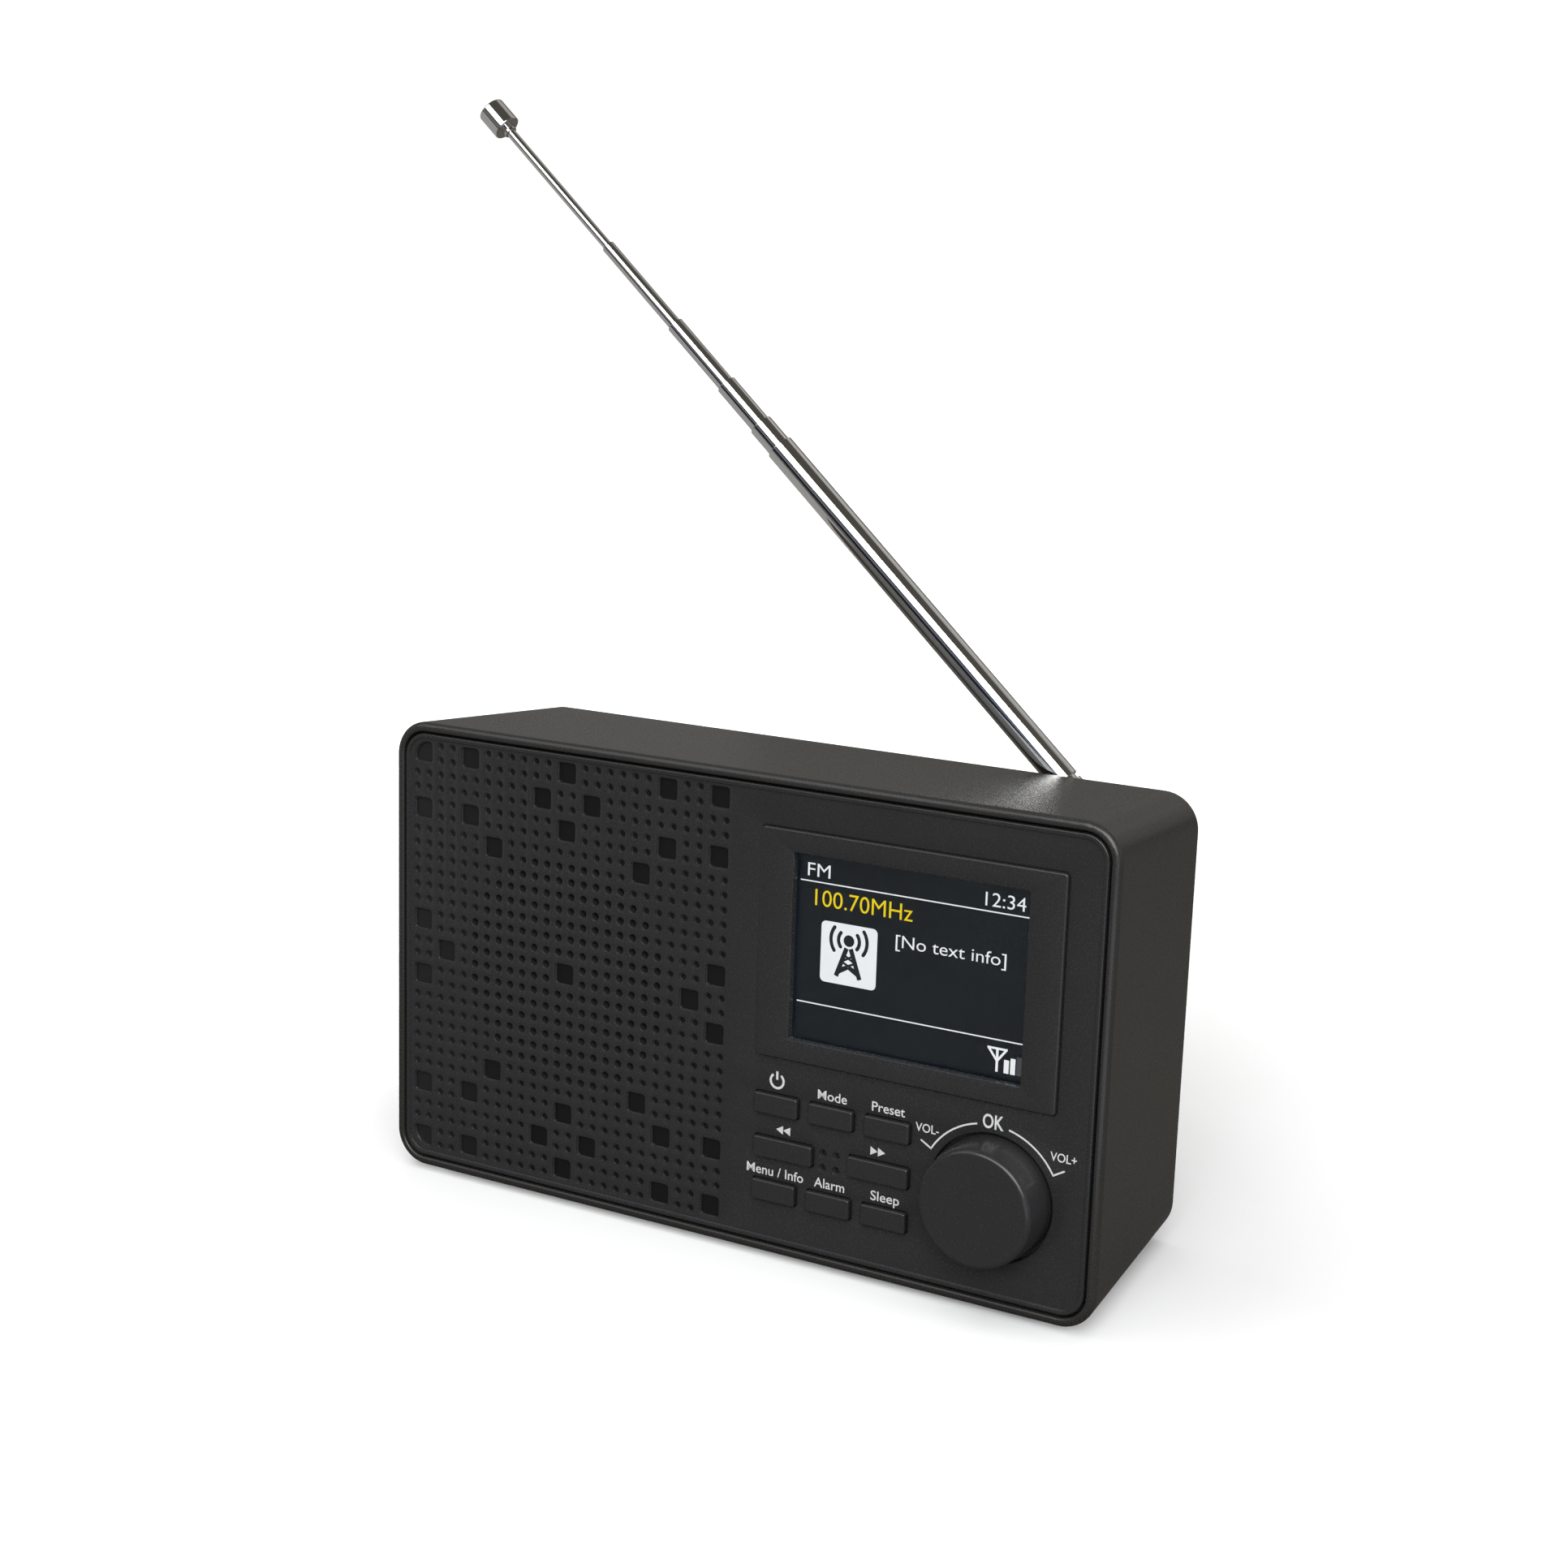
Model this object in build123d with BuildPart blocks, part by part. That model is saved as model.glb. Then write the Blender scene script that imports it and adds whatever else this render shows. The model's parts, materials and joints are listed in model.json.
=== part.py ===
from build123d import *
import os
from math import cos, sin, tan, radians, hypot

# A tabletop radio.  Millimetres, +Z up, front towards -Y.
# The origin is the centre of the base on the surface that the radio stands on.
# Parts of the case are drawn on planes parallel to the leaning front: u runs to the
# right, v runs up along the front, and depth runs square into the case from the rim.

# ---------------------------------------------------------------- driving dimensions
CASE_WIDTH = 162.5
CASE_HEIGHT = 97.0
CASE_DEPTH = 47.0
LEAN = 3.65                 # degrees: the front leans back by this, and each side drafts by it
CASE_CORNER = 7.3
WALL = 2.2
PAD_HEIGHT = 1.0            # how far the base pad lifts the cabinet

RIM_WIDTH = 1.95
RIM_ROUNDING = 1.2
RIM_INNER_ROUNDING = 0.5
PANEL_GAP = 0.5             # shadow groove between the rim and the front panel
PANEL_BACK = 3.1            # depth of the panel's rear surface
FIELD_DEPTH = 0.5           # depth of the panel's flat field behind the rim
LIP_WIDTH = 0.95
LEDGE = 2.0

HOLE_PITCH = 3.0
HOLE_COLUMNS = 26
HOLE_ROWS = 30
OPEN_HOLE_RADIUS = 0.8
MOUTH_DEPTH = 0.3           # depth of the wide mouths of the blind holes and squares
BLIND_MOUTH_RADIUS = 0.88
BLIND_RADIUS = 0.6
BLIND_DEPTH = 1.1
GRID_LEFT = -75.95
GRID_TOP = 43.7
SQUARE_MOUTH = 4.5
SQUARE_SIZE = 4.1
SQUARE_DEPTH = 1.9
OPEN_RADIUS = 24.4          # holes inside this circle go right through

SPEAKER_U, SPEAKER_V = -38.45, 0.2
DISPLAY_U, DISPLAY_V = 39.4, 15.3
KNOB_U, KNOB_V = 58.8, -26.45
CORNER_BOSS_U, CORNER_BOSS_V = 72.0, 38.9

BUTTON_HEIGHT = 4.2
BUTTON_PROUD = 1.0
BUTTON_TRAVEL = 0.6
BUTTON_GAP = 0.2
BUTTONS = {                 # name: (u, v, width)
    "power_button": (12.5, -17.35, 9.7),
    "mode_button": (24.7, -17.35, 9.7),
    "preset_button": (36.9, -17.35, 9.7),
    "rewind_button": (14.35, -26.35, 13.1),
    "forward_button": (35.3, -26.35, 13.1),
    "menu_button": (12.5, -35.35, 9.7),
    "alarm_button": (24.7, -35.35, 9.7),
    "sleep_button": (36.9, -35.35, 9.7),
}

KNOB_BASE_RADIUS = 12.3
KNOB_FACE_RADIUS = 11.5
KNOB_PROUD = 7.5

BOARD_FRONT = 9.5           # depth of the control board's front surface
BOARD_THICKNESS = 1.6

COVER_THICKNESS = 2.4
COVER_GAP = 0.3

ANTENNA_ANGLE = 43.5        # degrees above level, towards -X
PIVOT_X, PIVOT_Y, PIVOT_Z = 54.35, 34.0, 83.35
TUBE_RADII = [3.0, 2.6, 2.2, 1.8, 1.4]
TUBE_WALL = 0.3
TUBE_START = 9.0            # distance of the first tube's lower end from the pivot
TUBE_TOPS = [100.5, 106.8, 118.3, 135.5, 158.3]
TUBE_LENGTHS = [91.5, 86.0, 85.0, 84.0, 83.0]
ROD_RADIUS = 1.0
ROD_LENGTH = 82.0
CAP_BOTTOM = 193.1
CAP_LENGTH = 5.9
CAP_RADIUS = 3.0

os.makedirs("parts", exist_ok=True)

# ---------------------------------------------------------------- frames and helpers
COS_LEAN = cos(radians(LEAN))
SIN_LEAN = sin(radians(LEAN))
FRONT_Y = CASE_HEIGHT / 2 * SIN_LEAN - CASE_DEPTH / (2 * COS_LEAN)
FRONT_Z = PAD_HEIGHT + CASE_HEIGHT / 2 * COS_LEAN
INWARD = Vector(0, COS_LEAN, -SIN_LEAN)
UPWARD = Vector(0, SIN_LEAN, COS_LEAN)
DEPTH = Axis((0, 0, 0), INWARD)


def point(u, v, depth):
    """Place on the leaning case frame."""
    return Vector(0, FRONT_Y, FRONT_Z) + Vector(1, 0, 0) * u + UPWARD * v + INWARD * depth


def face(depth, u=0.0, v=0.0):
    """Plane parallel to the front, looking outwards; a negative extrusion goes inwards."""
    return Plane(origin=point(u, v, depth), x_dir=(1, 0, 0), z_dir=INWARD * -1)


def section(u, v):
    """Plane through a line square to the front: local x is the radius, local y the depth."""
    return Plane(origin=point(u, v, 0), x_dir=(1, 0, 0), z_dir=UPWARD)


def inward_axis(u, v):
    return Axis(origin=point(u, v, 0), direction=INWARD)


def drafted(size, depth):
    """Outer width or height of the case at a depth."""
    return size - 2 * depth * tan(radians(LEAN))


# ---------------------------------------------------------------- cabinet
PANEL_WIDTH = CASE_WIDTH - 2 * (RIM_WIDTH + PANEL_GAP)
PANEL_HEIGHT = CASE_HEIGHT - 2 * (RIM_WIDTH + PANEL_GAP)
POCKET_WIDTH = CASE_WIDTH - 2 * RIM_WIDTH
POCKET_HEIGHT = CASE_HEIGHT - 2 * RIM_WIDTH
LEDGE_INSET = 3.3
LEDGE_CORNER = 2.5
LEDGE_WIDTH = POCKET_WIDTH - 2 * LEDGE_INSET
LEDGE_HEIGHT = POCKET_HEIGHT - 2 * LEDGE_INSET
CAVITY_START = PANEL_BACK + LEDGE
COVER_START = CASE_DEPTH - COVER_THICKNESS
COVER_POCKET_WIDTH = drafted(CASE_WIDTH, CASE_DEPTH) - 2 * WALL
COVER_POCKET_HEIGHT = drafted(CASE_HEIGHT, CASE_DEPTH) - 2 * WALL
COVER_LEDGE_WIDTH = 150.2
COVER_LEDGE_HEIGHT = 84.0
COVER_LEDGE_CORNER = 4.0
CAVITY_END = COVER_START - LEDGE
CAVITY_CORNER = CASE_CORNER - WALL
PAD_LENGTH, PAD_WIDTH, PAD_CORNER = 130.0, 34.0, 5.0
PAD_RECESS = 0.8
PAD_GAP = 0.2

with BuildPart() as cabinet:
    with BuildSketch(face(0)):
        RectangleRounded(CASE_WIDTH, CASE_HEIGHT, CASE_CORNER)
    with BuildSketch(face(CASE_DEPTH)):
        RectangleRounded(drafted(CASE_WIDTH, CASE_DEPTH), drafted(CASE_HEIGHT, CASE_DEPTH), CASE_CORNER)
    loft(ruled=True)
    fillet(cabinet.faces().sort_by(DEPTH)[0].edges(), RIM_ROUNDING)
    with BuildSketch(face(0)):
        RectangleRounded(POCKET_WIDTH, POCKET_HEIGHT, CASE_CORNER - RIM_WIDTH)
    extrude(amount=-PANEL_BACK, mode=Mode.SUBTRACT)
    fillet(cabinet.faces().sort_by(DEPTH)[0].inner_wires()[0].edges(), RIM_INNER_ROUNDING)
    with BuildSketch(face(PANEL_BACK)):
        RectangleRounded(LEDGE_WIDTH, LEDGE_HEIGHT, LEDGE_CORNER)
    extrude(amount=-LEDGE, mode=Mode.SUBTRACT)
    with BuildSketch(face(CAVITY_START)):
        RectangleRounded(
            drafted(CASE_WIDTH, CAVITY_START) - 2 * WALL,
            drafted(CASE_HEIGHT, CAVITY_START) - 2 * WALL,
            CAVITY_CORNER,
        )
    with BuildSketch(face(CAVITY_END)):
        RectangleRounded(
            drafted(CASE_WIDTH, CAVITY_END) - 2 * WALL,
            drafted(CASE_HEIGHT, CAVITY_END) - 2 * WALL,
            CAVITY_CORNER,
        )
    loft(ruled=True, mode=Mode.SUBTRACT)
    with BuildSketch(face(CAVITY_END)):
        RectangleRounded(COVER_LEDGE_WIDTH, COVER_LEDGE_HEIGHT, COVER_LEDGE_CORNER)
    extrude(amount=-LEDGE, mode=Mode.SUBTRACT)
    with BuildSketch(face(COVER_START)):
        RectangleRounded(COVER_POCKET_WIDTH, COVER_POCKET_HEIGHT, CAVITY_CORNER)
    extrude(amount=-COVER_THICKNESS, mode=Mode.SUBTRACT)
    # recess for the base pad, in the level underside
    with BuildSketch(Plane.XY.offset(PAD_HEIGHT)):
        RectangleRounded(PAD_LENGTH + 2 * PAD_GAP, PAD_WIDTH + 2 * PAD_GAP, PAD_CORNER + PAD_GAP)
    extrude(amount=PAD_RECESS, mode=Mode.SUBTRACT)

cabinet.part.label = "cabinet"
export_step(cabinet.part, "parts/cabinet.step")

GRIP_GROOVES = [(0, -11), (0, -7), (0, 7), (0, 11)]
GRIP_WIDTH = 1.2
GRIP_DEPTH = 0.4
PAD_CHAMFER = 0.3

with BuildPart() as base_pad:
    with BuildSketch(Plane.XY):
        RectangleRounded(PAD_LENGTH, PAD_WIDTH, PAD_CORNER)
    extrude(amount=PAD_HEIGHT + PAD_RECESS)
    # shallow grip grooves along the underside, clear of its middle
    with BuildSketch(Plane.XY):
        with Locations(*GRIP_GROOVES):
            SlotOverall(PAD_LENGTH - 16, GRIP_WIDTH)
    extrude(amount=GRIP_DEPTH, mode=Mode.SUBTRACT)
    chamfer(base_pad.faces().sort_by(Axis.Z)[0].outer_wire().edges(), PAD_CHAMFER)

base_pad.part.label = "base_pad"
export_step(base_pad.part, "parts/base_pad.step")

# ---------------------------------------------------------------- front panel
FIELD_WIDTH = PANEL_WIDTH - 2 * LIP_WIDTH
FIELD_HEIGHT = PANEL_HEIGHT - 2 * LIP_WIDTH
LIP_HEIGHT = 0.3
LIP_ROUNDING = 0.25
PANEL_CORNER = 4.9
PLUG_WIDTH, PLUG_HEIGHT = 60.6, 42.8        # part of the display frame inside the panel
SPEAKER_EAR = 21.57                         # half the spacing of the speaker's screws
GASKET_THICKNESS = 2.0
CORNER_BOSS_RADIUS = 2.8
CORNER_BOSS_END = 20.0
CASE_SCREW_PILOT = 1.25
CASE_PILOT_LENGTH = 14.0
SPEAKER_POST_RADIUS = 2.6
POST_RADIUS = 2.0
POST_PILOT = 0.8
SPEAKER_PILOT_LENGTH = 3.1
BOARD_PILOT_LENGTH = 6.0
BRACKET_PILOT_LENGTH = 3.4
OPENING_GAP = 0.2
BUSHING_HOLE = 3.7
BOARD_POSTS = [(8.0, -11.7), (66.0, -11.7), (8.0, -40.4), (66.0, -40.4)]
BRACKET_POSTS = [(DISPLAY_U - 33.0, DISPLAY_V), (DISPLAY_U + 33.0, DISPLAY_V)]
BRACKET_FRONT = 5.0
KNOB_RECESS_RADIUS = 12.8
KNOB_RECESS_DEPTH = 1.8
VENT_MOUTH_RADIUS, VENT_MOUTH_DEPTH = 0.9, 0.5
VENT_RADIUS, VENT_DEPTH = 0.5, 1.6
VENT_HOLES = [(23.05, -25.2), (26.05, -25.2), (23.05, -28.2), (26.05, -28.2)]

SQUARE_BANDS = [            # row and columns of the squares, counted from the top left hole
    (1.5, (1.5, 5.5, 13.5, 21.5, 25.5)),
    (3.5, (11.5, 15.5)),
    (5.5, (1.5, 5.5, 13.5, 21.5, 25.5)),
    (7.5, (7.5, 19.5)),
    (13.5, (1.5, 25.5)),
    (15.5, (3.5, 13.5, 23.5)),
]


def square_centres():
    """Each square takes the place of two by two holes; the pattern mirrors top to bottom."""
    centres = set()
    for row, columns in SQUARE_BANDS:
        for column in columns:
            centres.add((column, row))
            centres.add((column, HOLE_ROWS + 1 - row))
    return sorted(centres)


def lattice(column, row):
    return GRID_LEFT + HOLE_PITCH * (column - 1), GRID_TOP - HOLE_PITCH * (row - 1)


SQUARES = square_centres()
HOLES = [
    lattice(column, row)
    for column in range(1, HOLE_COLUMNS + 1)
    for row in range(1, HOLE_ROWS + 1)
    if not any(abs(column - c) < 1 and abs(row - r) < 1 for c, r in SQUARES)
]
OPEN_HOLES = [(u, v) for u, v in HOLES if hypot(u - SPEAKER_U, v - SPEAKER_V) < OPEN_RADIUS]
BLIND_HOLES = [place for place in HOLES if place not in OPEN_HOLES]

with BuildPart() as front_panel:
    with BuildSketch(face(FIELD_DEPTH - LIP_HEIGHT)):
        RectangleRounded(PANEL_WIDTH, PANEL_HEIGHT, PANEL_CORNER)
    extrude(amount=-(PANEL_BACK - FIELD_DEPTH + LIP_HEIGHT))
    fillet(front_panel.faces().sort_by(DEPTH)[0].edges(), LIP_ROUNDING)
    with BuildSketch(face(FIELD_DEPTH - LIP_HEIGHT)):
        RectangleRounded(FIELD_WIDTH, FIELD_HEIGHT, PANEL_CORNER - LIP_WIDTH)
    extrude(amount=-LIP_HEIGHT, mode=Mode.SUBTRACT)
    # bosses and posts behind the panel
    with BuildSketch(face(PANEL_BACK)):
        with GridLocations(2 * CORNER_BOSS_U, 2 * CORNER_BOSS_V, 2, 2):
            Circle(CORNER_BOSS_RADIUS)
    extrude(amount=-(CORNER_BOSS_END - PANEL_BACK))
    with BuildSketch(face(PANEL_BACK, SPEAKER_U, SPEAKER_V)):
        with GridLocations(2 * SPEAKER_EAR, 2 * SPEAKER_EAR, 2, 2):
            Circle(SPEAKER_POST_RADIUS)
    extrude(amount=-GASKET_THICKNESS)
    with BuildSketch(face(PANEL_BACK)):
        with Locations(*BOARD_POSTS):
            Circle(POST_RADIUS)
    extrude(amount=-(BOARD_FRONT - PANEL_BACK))
    with BuildSketch(face(PANEL_BACK)):
        with Locations(*BRACKET_POSTS):
            Circle(POST_RADIUS)
    extrude(amount=-(BRACKET_FRONT - PANEL_BACK))
    # pilot holes
    with BuildSketch(face(CORNER_BOSS_END)):
        with GridLocations(2 * CORNER_BOSS_U, 2 * CORNER_BOSS_V, 2, 2):
            Circle(CASE_SCREW_PILOT)
    extrude(amount=CASE_PILOT_LENGTH, mode=Mode.SUBTRACT)
    with BuildSketch(face(PANEL_BACK + GASKET_THICKNESS, SPEAKER_U, SPEAKER_V)):
        with GridLocations(2 * SPEAKER_EAR, 2 * SPEAKER_EAR, 2, 2):
            Circle(POST_PILOT)
    extrude(amount=SPEAKER_PILOT_LENGTH, mode=Mode.SUBTRACT)
    with BuildSketch(face(BOARD_FRONT)):
        with Locations(*BOARD_POSTS):
            Circle(POST_PILOT)
    extrude(amount=BOARD_PILOT_LENGTH, mode=Mode.SUBTRACT)
    with BuildSketch(face(BRACKET_FRONT)):
        with Locations(*BRACKET_POSTS):
            Circle(POST_PILOT)
    extrude(amount=BRACKET_PILOT_LENGTH, mode=Mode.SUBTRACT)
    # display, button and knob openings
    with BuildSketch(face(0)):
        with Locations((DISPLAY_U, DISPLAY_V)):
            RectangleRounded(PLUG_WIDTH + 2 * OPENING_GAP, PLUG_HEIGHT + 2 * OPENING_GAP, 1.2)
        for u, v, width in BUTTONS.values():
            with Locations((u, v)):
                RectangleRounded(width + 2 * BUTTON_GAP, BUTTON_HEIGHT + 2 * BUTTON_GAP, 0.7)
        with Locations((KNOB_U, KNOB_V)):
            Circle(BUSHING_HOLE)
    extrude(amount=-PANEL_BACK, mode=Mode.SUBTRACT)
    with BuildSketch(face(FIELD_DEPTH)):
        with Locations((KNOB_U, KNOB_V)):
            Circle(KNOB_RECESS_RADIUS)
    extrude(amount=-KNOB_RECESS_DEPTH, mode=Mode.SUBTRACT)
    # the small stepped holes between the wide buttons
    with BuildSketch(face(FIELD_DEPTH)):
        with Locations(*VENT_HOLES):
            Circle(VENT_MOUTH_RADIUS)
    extrude(amount=-VENT_MOUTH_DEPTH, mode=Mode.SUBTRACT)
    with BuildSketch(face(FIELD_DEPTH)):
        with Locations(*VENT_HOLES):
            Circle(VENT_RADIUS)
    extrude(amount=-VENT_DEPTH, mode=Mode.SUBTRACT)
    # the lattice: open holes over the speaker, stepped blind holes and squares round it
    with BuildSketch(face(FIELD_DEPTH)):
        with Locations(*OPEN_HOLES):
            Circle(OPEN_HOLE_RADIUS)
    extrude(amount=-(PANEL_BACK - FIELD_DEPTH), mode=Mode.SUBTRACT)
    with BuildSketch(face(FIELD_DEPTH)):
        with Locations(*BLIND_HOLES):
            Circle(BLIND_MOUTH_RADIUS)
    extrude(amount=-MOUTH_DEPTH, mode=Mode.SUBTRACT)
    with BuildSketch(face(FIELD_DEPTH)):
        with Locations(*BLIND_HOLES):
            Circle(BLIND_RADIUS)
    extrude(amount=-BLIND_DEPTH, mode=Mode.SUBTRACT)
    for size, depth in ((SQUARE_MOUTH, MOUTH_DEPTH), (SQUARE_SIZE, SQUARE_DEPTH)):
        with BuildSketch(face(FIELD_DEPTH)):
            for column, row in SQUARES:
                in_corner = column == 1.5 and row in (1.5, HOLE_ROWS - 0.5)
                with Locations(lattice(column, row)):
                    RectangleRounded(size, size, 1.6 if in_corner else 0.6)
        extrude(amount=-depth, mode=Mode.SUBTRACT)

front_panel.part.label = "front_panel"
export_step(front_panel.part, "parts/front_panel.step")

# ---------------------------------------------------------------- display
FRAME_WIDTH, FRAME_HEIGHT = 63.8, 45.9
WINDOW_WIDTH, WINDOW_HEIGHT = 49.3, 37.3
LENS_WIDTH, LENS_HEIGHT = 57.4, 40.0
FRAME_FRONT = FIELD_DEPTH - 0.7
LENS_FRONT = 1.5
LENS_THICKNESS = 0.8
MODULE_THICKNESS = 2.6
FRAME_CHAMFER = 0.2
LENS_GAP = 0.2
SCREEN_MARGIN_U, SCREEN_MARGIN_V = 2.5, 0.8
SCREEN_RECESS = 0.15

with BuildPart() as display_frame:
    with BuildSketch(face(FIELD_DEPTH, DISPLAY_U, DISPLAY_V)):
        RectangleRounded(FRAME_WIDTH, FRAME_HEIGHT, 0.8)
    extrude(amount=FIELD_DEPTH - FRAME_FRONT)
    chamfer(display_frame.faces().sort_by(DEPTH)[0].edges(), FRAME_CHAMFER)
    with BuildSketch(face(FIELD_DEPTH, DISPLAY_U, DISPLAY_V)):
        RectangleRounded(PLUG_WIDTH, PLUG_HEIGHT, 1.0)
    extrude(amount=-(PANEL_BACK - FIELD_DEPTH))
    with BuildSketch(face(FRAME_FRONT, DISPLAY_U, DISPLAY_V)):
        RectangleRounded(WINDOW_WIDTH, WINDOW_HEIGHT, 0.4)
    extrude(amount=-(PANEL_BACK - FRAME_FRONT), mode=Mode.SUBTRACT)
    with BuildSketch(face(LENS_FRONT, DISPLAY_U, DISPLAY_V)):
        Rectangle(LENS_WIDTH + 2 * LENS_GAP, LENS_HEIGHT + 2 * LENS_GAP)
    extrude(amount=-(PANEL_BACK - LENS_FRONT), mode=Mode.SUBTRACT)

display_frame.part.label = "display_frame"
export_step(display_frame.part, "parts/display_frame.step")

with BuildPart() as display_window:
    with BuildSketch(face(LENS_FRONT, DISPLAY_U, DISPLAY_V)):
        RectangleRounded(LENS_WIDTH, LENS_HEIGHT, 0.5)
    extrude(amount=-LENS_THICKNESS)

display_window.part.label = "display_window"
export_step(display_window.part, "parts/display_window.step")

MODULE_FRONT = LENS_FRONT + LENS_THICKNESS
with BuildPart() as display_module:
    with BuildSketch(face(MODULE_FRONT, DISPLAY_U, DISPLAY_V)):
        Rectangle(LENS_WIDTH, LENS_HEIGHT)
    extrude(amount=-MODULE_THICKNESS)
    with BuildSketch(face(MODULE_FRONT, DISPLAY_U, DISPLAY_V)):
        Rectangle(LENS_WIDTH - 2 * SCREEN_MARGIN_U, LENS_HEIGHT - 2 * SCREEN_MARGIN_V)
    extrude(amount=-SCREEN_RECESS, mode=Mode.SUBTRACT)

display_module.part.label = "display_module"
export_step(display_module.part, "parts/display_module.step")

BRACKET_THICKNESS = 1.2
BRACKET_ARM = 70.4
BRACKET_ARM_HEIGHT = 6.4
SCREW_CLEARANCE = 1.1
with BuildPart() as display_bracket:
    with BuildSketch(face(BRACKET_FRONT, DISPLAY_U, DISPLAY_V)):
        RectangleRounded(LENS_WIDTH + 1.6, LENS_HEIGHT + 1.0, 1.0)
        RectangleRounded(BRACKET_ARM, BRACKET_ARM_HEIGHT, 3.0)
        Rectangle(30.0, 20.0, mode=Mode.SUBTRACT)
        with GridLocations(66.0, 0, 2, 1):
            Circle(SCREW_CLEARANCE, mode=Mode.SUBTRACT)
    extrude(amount=-BRACKET_THICKNESS)

display_bracket.part.label = "display_bracket"
export_step(display_bracket.part, "parts/display_bracket.step")

DRIVER_FRONT = BRACKET_FRONT + BRACKET_THICKNESS
DRIVER_THICKNESS = 1.2
with BuildPart() as display_board:
    with BuildSketch(face(DRIVER_FRONT, DISPLAY_U, DISPLAY_V)):
        Rectangle(52.0, 34.0)
    extrude(amount=-DRIVER_THICKNESS)
    with BuildSketch(face(DRIVER_FRONT + DRIVER_THICKNESS, DISPLAY_U, DISPLAY_V)):
        with Locations((-12, 4)):
            Rectangle(10, 10)
        with Locations((10, 6)):
            Rectangle(7, 5)
        with Locations((17, -4), (-20, -8)):
            Rectangle(2.0, 3.2)
    extrude(amount=-1.0)

display_board.part.label = "display_board"
export_step(display_board.part, "parts/display_board.step")

# a flat ribbon from the display board round the top edge of the control board
RIBBON_THICKNESS = 0.3
RIBBON_START = DRIVER_FRONT + DRIVER_THICKNESS + RIBBON_THICKNESS / 2
CONNECTOR_HEIGHT = 1.2
RIBBON_END = BOARD_FRONT + BOARD_THICKNESS + CONNECTOR_HEIGHT + RIBBON_THICKNESS / 2
RIBBON_WIDTH = 16.0
ribbon_side = Plane(origin=point(DISPLAY_U - 14, 0, 0), x_dir=UPWARD, z_dir=(-1, 0, 0))
with BuildPart() as display_ribbon:
    with BuildSketch(ribbon_side):
        with BuildLine():
            FilletPolyline(
                (1.0, RIBBON_START),
                (-4.6, RIBBON_START),
                (-8.4, RIBBON_END),
                (-12.6, RIBBON_END),
                radius=1.6,
            )
        trace(line_width=RIBBON_THICKNESS)
    extrude(amount=RIBBON_WIDTH / 2, both=True)

display_ribbon.part.label = "display_ribbon"
export_step(display_ribbon.part, "parts/display_ribbon.step")

# ---------------------------------------------------------------- buttons and control board
FLANGE_MARGIN = 0.8
FLANGE_FRONT = PANEL_BACK + 0.1
FLANGE_THICKNESS = 0.8
STEM_RADIUS = 1.5
SWITCH_SIZE = 6.0
SWITCH_HEIGHT = 3.2
STEM_ENTRY = 0.7            # how far the stem stands in the switch at rest
STEM_END = BOARD_FRONT - SWITCH_HEIGHT + STEM_ENTRY
STEM_CLEARANCE = 0.3
SWITCH_WELL = STEM_ENTRY + BUTTON_TRAVEL + 0.9
BUTTON_ROUNDING = 0.4

for name, (u, v, width) in BUTTONS.items():
    with BuildPart() as button:
        with BuildSketch(face(FLANGE_FRONT, u, v)):
            RectangleRounded(width, BUTTON_HEIGHT, 0.5)
        extrude(amount=FLANGE_FRONT - FIELD_DEPTH + BUTTON_PROUD)
        fillet(button.faces().sort_by(DEPTH)[0].edges(), BUTTON_ROUNDING)
        with BuildSketch(face(FLANGE_FRONT, u, v)):
            RectangleRounded(width + 2 * FLANGE_MARGIN, BUTTON_HEIGHT + 2 * FLANGE_MARGIN, 0.8)
        extrude(amount=-FLANGE_THICKNESS)
        with BuildSketch(face(FLANGE_FRONT, u, v)):
            Circle(STEM_RADIUS)
        extrude(amount=-(STEM_END - FLANGE_FRONT))
    button.part.label = name
    export_step(button.part, f"parts/{name}.step")

with BuildPart() as tact_switches:
    for u, v, width in BUTTONS.values():
        with BuildSketch(face(BOARD_FRONT, u, v)):
            RectangleRounded(SWITCH_SIZE, SWITCH_SIZE, 0.4)
        extrude(amount=SWITCH_HEIGHT)
        with BuildSketch(face(BOARD_FRONT - SWITCH_HEIGHT, u, v)):
            Circle(STEM_RADIUS + STEM_CLEARANCE)
        extrude(amount=-SWITCH_WELL, mode=Mode.SUBTRACT)

tact_switches.part.label = "tact_switches"
export_step(tact_switches.part, "parts/tact_switches.step")

CONTROL_U, CONTROL_V = 36.8, -25.75
with BuildPart() as control_board:
    with BuildSketch(face(BOARD_FRONT)):
        with Locations((CONTROL_U, CONTROL_V)):
            Rectangle(63.6, 32.5)
        with Locations(*BOARD_POSTS):
            Circle(SCREW_CLEARANCE, mode=Mode.SUBTRACT)
    extrude(amount=-BOARD_THICKNESS)
    with BuildSketch(face(BOARD_FRONT + BOARD_THICKNESS)):
        with Locations((DISPLAY_U - 14, -12.0)):
            Rectangle(20, 3.2)
    extrude(amount=-CONNECTOR_HEIGHT)
    with BuildSketch(face(BOARD_FRONT + BOARD_THICKNESS)):
        with Locations((30, -26)):
            Rectangle(7, 7)
        with Locations((18, -34), (42, -22), (46, -33)):
            Rectangle(3.2, 1.8)
        with Locations((22, -39.5)):
            Rectangle(14, 3)
    extrude(amount=-1.0)

control_board.part.label = "control_board"
export_step(control_board.part, "parts/control_board.step")

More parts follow.
